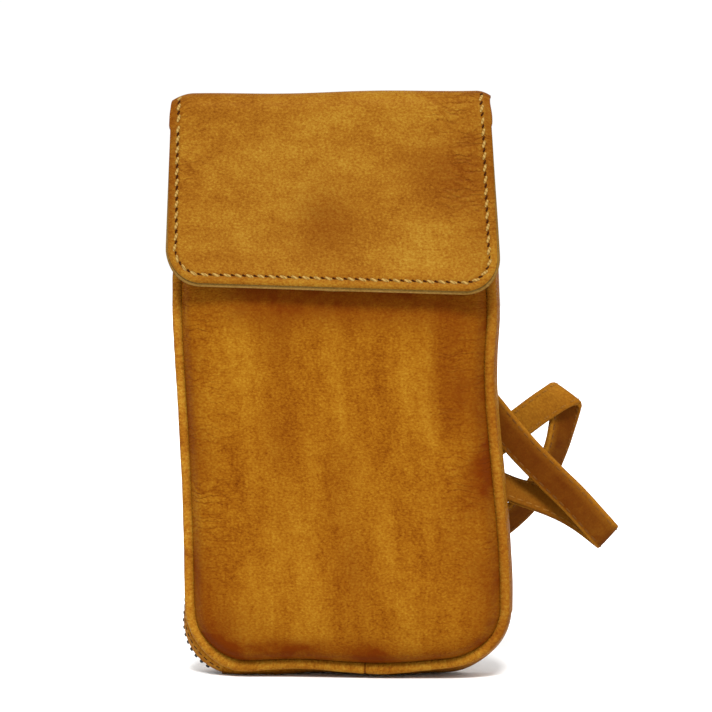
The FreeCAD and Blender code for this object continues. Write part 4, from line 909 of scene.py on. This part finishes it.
# Strap: one flat strap of two layers of hide, 10 mm wide and 2.2 mm thick, sewn along both edges, dark on
# its face and paler on its back. It is looped through the rings, and lies folded behind the pouch with a
# tied hank. Each route gives places in metres, and the direction across the strap there.
LEVEL = (1.0, 0.0, 0.0)
LEFT_RUN = [
    ((-0.0340, 0.0186, 0.1380), LEVEL),
    ((-0.0340, 0.0202, 0.1490), LEVEL),
    ((-0.0340, 0.0202, 0.1614), LEVEL),
    ((-0.0340, 0.0152, 0.1614), LEVEL),
    ((-0.0340, 0.0152, 0.1495), LEVEL),
    ((-0.0290, 0.0154, 0.1385), (0.83, 0.0, 0.55)),
    ((-0.0110, 0.0158, 0.1275), (0.56, 0.0, 0.83)),
    ((0.0200, 0.0164, 0.1105), (0.53, 0.0, 0.85)),
    ((0.0380, 0.0168, 0.0965), (0.69, 0.0, 0.72)),
    ((0.0466, 0.0170, 0.0864), (0.78, 0.0, 0.62)),
    ((0.0572, 0.0170, 0.0732), (0.75, 0.0, 0.66)),
    ((0.0677, 0.0173, 0.0626), (0.71, 0.0, 0.71)),
    ((0.0752, 0.0175, 0.0555), (0.71, 0.0, 0.70)),
    ((0.0802, 0.0177, 0.0499), (0.70, 0.0, 0.71)),
    ((0.0859, 0.0182, 0.0435), (0.675, 0.0, 0.737)),
    ((0.0856, 0.0227, 0.0432), (0.675, 0.0, 0.737)),
    ((0.0790, 0.0232, 0.0484), (0.60, 0.0, 0.80)),
    ((0.0723, 0.0234, 0.0524), (0.44, 0.15, 0.88)),
    ((0.0657, 0.0234, 0.0550), (0.27, 0.42, 0.87)),
    ((0.0578, 0.0232, 0.0569), (0.19, 0.70, 0.69)),
    ((0.0523, 0.0230, 0.0589), (0.22, 0.70, 0.68)),
    ((0.0447, 0.0230, 0.0618), (0.40, 0.45, 0.80)),
    ((0.0200, 0.0230, 0.0755), (0.50, 0.0, 0.87)),
    ((-0.0080, 0.0230, 0.0925), (0.60, 0.0, 0.80)),
    ((-0.0178, 0.0233, 0.0985), (0.87, 0.0, 0.49)),
    ((-0.0200, 0.0275, 0.0972), (0.87, 0.0, 0.49)),
    ((-0.0200, 0.0275, 0.0800), LEVEL),
]
HANK_X, HANK_Y, HANK_ENDS, LAYER = -0.0200, 0.0275, (0.0015, 0.1515), 0.0038
HANK = [((HANK_X, HANK_Y, 0.0800), LEVEL)]
for layer in range(4):
    for y in (HANK_Y + layer * LAYER, HANK_Y + (layer + 1) * LAYER):
        HANK.append(((HANK_X, y, HANK_ENDS[layer % 2]), LEVEL))
HANK.append(((HANK_X, HANK_Y + 4 * LAYER, 0.0300), LEVEL))
RIGHT_RUN = [
    ((-0.0200, 0.0427, 0.0300), LEVEL),
    ((-0.0200, 0.0427, 0.0095), (0.86, 0.0, -0.51)),
    ((-0.0179, 0.0468, 0.0082), (0.86, 0.0, -0.51)),
    ((-0.0085, 0.0465, 0.0130), (0.62, 0.0, -0.78)),
    ((0.0200, 0.0425, 0.0275), (0.47, 0.0, -0.88)),
    ((0.0456, 0.0380, 0.0420), (0.48, 0.35, -0.80)),
    ((0.0526, 0.0372, 0.0464), (0.48, 0.60, -0.62)),
    ((0.0593, 0.0366, 0.0525), (0.55, 0.66, -0.48)),
    ((0.0642, 0.0362, 0.0599), (0.63, 0.68, -0.35)),
    ((0.0690, 0.0358, 0.0702), (0.63, 0.74, -0.22)),
    ((0.0713, 0.0355, 0.0799), (0.80, 0.52, -0.28)),
    ((0.0728, 0.0352, 0.0884), (0.81, 0.0, -0.59)),
    ((0.0715, 0.0309, 0.0892), (0.81, 0.0, -0.59)),
    ((0.0644, 0.0309, 0.0846), (0.66, 0.0, -0.75)),
    ((0.0581, 0.0310, 0.0798), (0.60, 0.0, -0.80)),
    ((0.0443, 0.0310, 0.0693), (0.59, 0.0, -0.81)),
    ((0.0220, 0.0312, 0.0544), (0.62, 0.0, -0.78)),
    ((0.0095, 0.0310, 0.0462), (0.81, 0.0, -0.58)),
    ((0.0082, 0.0270, 0.0471), (0.81, 0.0, -0.58)),
    ((0.0113, 0.0268, 0.0600), (0.93, 0.0, -0.37)),
    ((0.0180, 0.0258, 0.0860), (0.97, 0.0, -0.25)),
    ((0.0265, 0.0230, 0.1160), (0.97, 0.0, -0.25)),
    ((0.0328, 0.0206, 0.1390), (0.99, 0.0, -0.12)),
    ((0.0340, 0.0202, 0.1500), LEVEL),
    ((0.0340, 0.0202, 0.1614), LEVEL),
    ((0.0340, 0.0152, 0.1614), LEVEL),
    ((0.0340, 0.0152, 0.1490), LEVEL),
    ((0.0340, 0.0168, 0.1380), LEVEL),
]


def smooth_line(name, points):
    # points read from a smooth spline through the route
    curve = bpy.data.curves.new(name, "CURVE")
    curve.dimensions = "3D"
    curve.resolution_u = 12
    spline = curve.splines.new("NURBS")
    spline.points.add(len(points) - 1)
    for point, place in zip(spline.points, points):
        point.co = (*place, 1.0)
    spline.order_u = 3
    spline.use_endpoint_u = True
    holder = bpy.data.objects.new(name, curve)
    read = bpy.data.meshes.new_from_object(holder)
    found = np.array([v.co for v in read.vertices])
    bpy.data.objects.remove(holder)
    bpy.data.meshes.remove(read)
    return found


STRAP_HALF, STITCH_IN = 5.0, 3.72


def strap_ribbon(name, route, face_up, back_shadow, turns_over, materials):
    # the strap along its route, turned as the route says, with its two rows of stitches on both sides;
    # the fourth argument is how much painted shadow darkens its back beyond its outer fold, where the front
    # leg shades it, and where it turns over its dark face and its pale back change places over its last 30
    # mm
    centre = smooth_line(name + "_line", [p for p, turn in route]) * 1000
    tips = [Vector(p) + Vector(turn).normalized() * 0.005 for p, turn in route]
    across = smooth_line(name + "_turn", tips) * 1000 - centre
    across /= np.linalg.norm(across, axis=1)[:, None]
    ahead = np.gradient(centre, axis=0)
    ahead /= np.linalg.norm(ahead, axis=1)[:, None]
    upward = np.cross(ahead, across)
    lean = np.clip(np.linalg.norm(upward, axis=1), 0.4, 1.0)
    upward /= np.linalg.norm(upward, axis=1)[:, None]
    run = np.concatenate([[0], np.cumsum(np.linalg.norm(np.diff(centre, axis=0), axis=1))])
    edge = [(STRAP_HALF, 0.2), (STRAP_HALF, 0.55), (4.7, 0.95), (4.1, 1.08), (3.7, 1.0), (3.3, 1.1)]
    edge += [(1.5, 1.14)]
    upper = edge + [(0.0, 1.15)] + [(-a, b) for a, b in edge[::-1]]
    shape = np.array(upper + [(-4.85, 0.0)] + [(a, -b) for a, b in upper[::-1]] + [(4.85, 0.0)])
    rings = centre[:, None] + across[:, None] * (shape[:, :1] / lean[:, None, None])
    rings = rings + upward[:, None] * shape[:, 1:]
    side = np.sign(shape[:, 1]) * face_up
    margin_width = np.where(shape[:, 0] * face_up > 0, 1.5, 0.7)
    margin = hump(np.abs(shape[:, 0]), STRAP_HALF, margin_width)
    hide = np.concatenate([np.stack([shape[:, 0], 0 * side + s, side * 40], 1) for s in run])
    fold = run[np.argmax(centre[:, 0])]
    # painted shadow: the back darkens just past the outer fold, where the front leg shades it
    painted_back_shadow = back_shadow * smooth((run - fold - 3) / 8) * smooth((fold + 80 - run) / 20)
    dyed, pale = 0.85 - 0.75 * margin, 0.08 + painted_back_shadow[:, None]
    over = turns_over * smooth((run - run[-1] + 34) / 30)[:, None]
    tone = np.where(side > 0, dyed, pale) * (1 - over) + np.where(side > 0, pale, dyed) * over
    ribbon = loft(name, rings, materials[0], {"hide": hide, "tone": tone.ravel()})
    along = np.arange(2.0, run[-1] - 2.0, 3.0)

    def spread(rows):
        # values along the strap, read at each stitch
        return np.stack([np.interp(along, run, column) for column in rows.T], 1)

    spots = [], []
    read = [spread(rows) for rows in (centre, ahead, across, upward)]
    for at, way, aside, up, k in zip(*read, np.interp(along, run, lean)):
        for face, high in enumerate((1.06 * face_up, -1.06 * face_up)):
            for hand in (-1, 1):
                spots[face].append((at + aside * (STITCH_IN * hand / k) + up * high, way, aside, up))
    stitch = pill(2.1, 0.55, 0.4, 5, 6)
    sewn = [copies(name + "_sewing", stitch, spots[face], materials[1 + face], {}) for face in (0, 1)]
    bpy.ops.object.select_all(action="DESELECT")
    for layer in (ribbon, *sewn):
        layer.select_set(True)
    bpy.context.view_layer.objects.active = ribbon
    bpy.ops.object.join()
    bpy.ops.object.select_all(action="DESELECT")
    return ribbon, centre / 1000


STRAP_SHADES = ("#663B0A", "#75480F", "#825413", "#8E621B")
strap_hide = cowhide("waxed_cowhide_strap", STRAP_SHADES, "#471D03", (14.0, 30.0, 14.0), 0.55, 0.15)
face_thread = thread("brown_linen_thread", "#643C0C", "#4E2B06")
back_thread = thread("tan_linen_thread", "#7D5115", "#6A420E")
for label, route, face_up, back_shadow, turns_over, bodies, leaves, length in (
    ("strap_left_run", LEFT_RUN, 1, 0.45, 0, ("ring_left", "pouch"), (-0.034, 0.0186, 0.138), 0.342),
    ("strap_hank", HANK, 1, 0.0, 1, ("pouch",), (-0.020, 0.0275, 0.080), 0.659),
    ("strap_right_run", RIGHT_RUN, -1, 0.0, 0, ("ring_right", "pouch"), (-0.020, 0.0427, 0.030), 0.378),
):
    hides = strap_hide, face_thread, back_thread
    ribbon, path = strap_ribbon(label + "_ribbon", route, face_up, back_shadow, turns_over, hides)
    if len(bodies) == 2:
        middle = -0.034 if bodies[0] == "ring_left" else 0.034
        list(bodies)
        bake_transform(ribbon)
    else:
        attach(ribbon, "pouch")
    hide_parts(label)
    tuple(leaves)
    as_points(path)

# Tie: a flat woven cotton band, 4.9 mm wide and 0.8 mm thick, wrapped once round the hank and sewn to
# itself, which holds the strap's put-away length together.
TIE_ROUND, TIE_HALF = 1.6, 0.4
low, high = (np.array(c) * 1000 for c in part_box("strap_tie"))
centre = (low + high) / 2
reach = (high - low) / 2 - TIE_HALF - TIE_ROUND
band = [(0.38, -2.2), (0.38, 2.2), (0.2, 2.45), (-0.2, 2.45)]
band += [(-a, -b) for a, b in band]
rings, hide = [], []
for cx, cy, start in ((1, 1, 0), (-1, 1, 90), (-1, -1, 180), (1, -1, 270)):
    for a in np.radians(np.linspace(start, start + 90, 8)):
        out = np.array([math.cos(a), math.sin(a), 0.0])
        at = centre + np.array([cx * reach[0], cy * reach[1], 0.0]) + out * TIE_ROUND
        rings.append(np.array([at + out * o + np.array([0, 0, h]) for o, h in band]))
        hide += [(at[0] + at[1], h, o) for o, h in band]
tie_cloth = twill("cotton_tape", "#7E6238", "#53391A", 0.9, 0.0)
tie = loft("strap_tie_band", rings, tie_cloth, {"hide": np.array(hide)}, loop=True)
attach(tie, "pouch")
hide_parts("strap_tie")
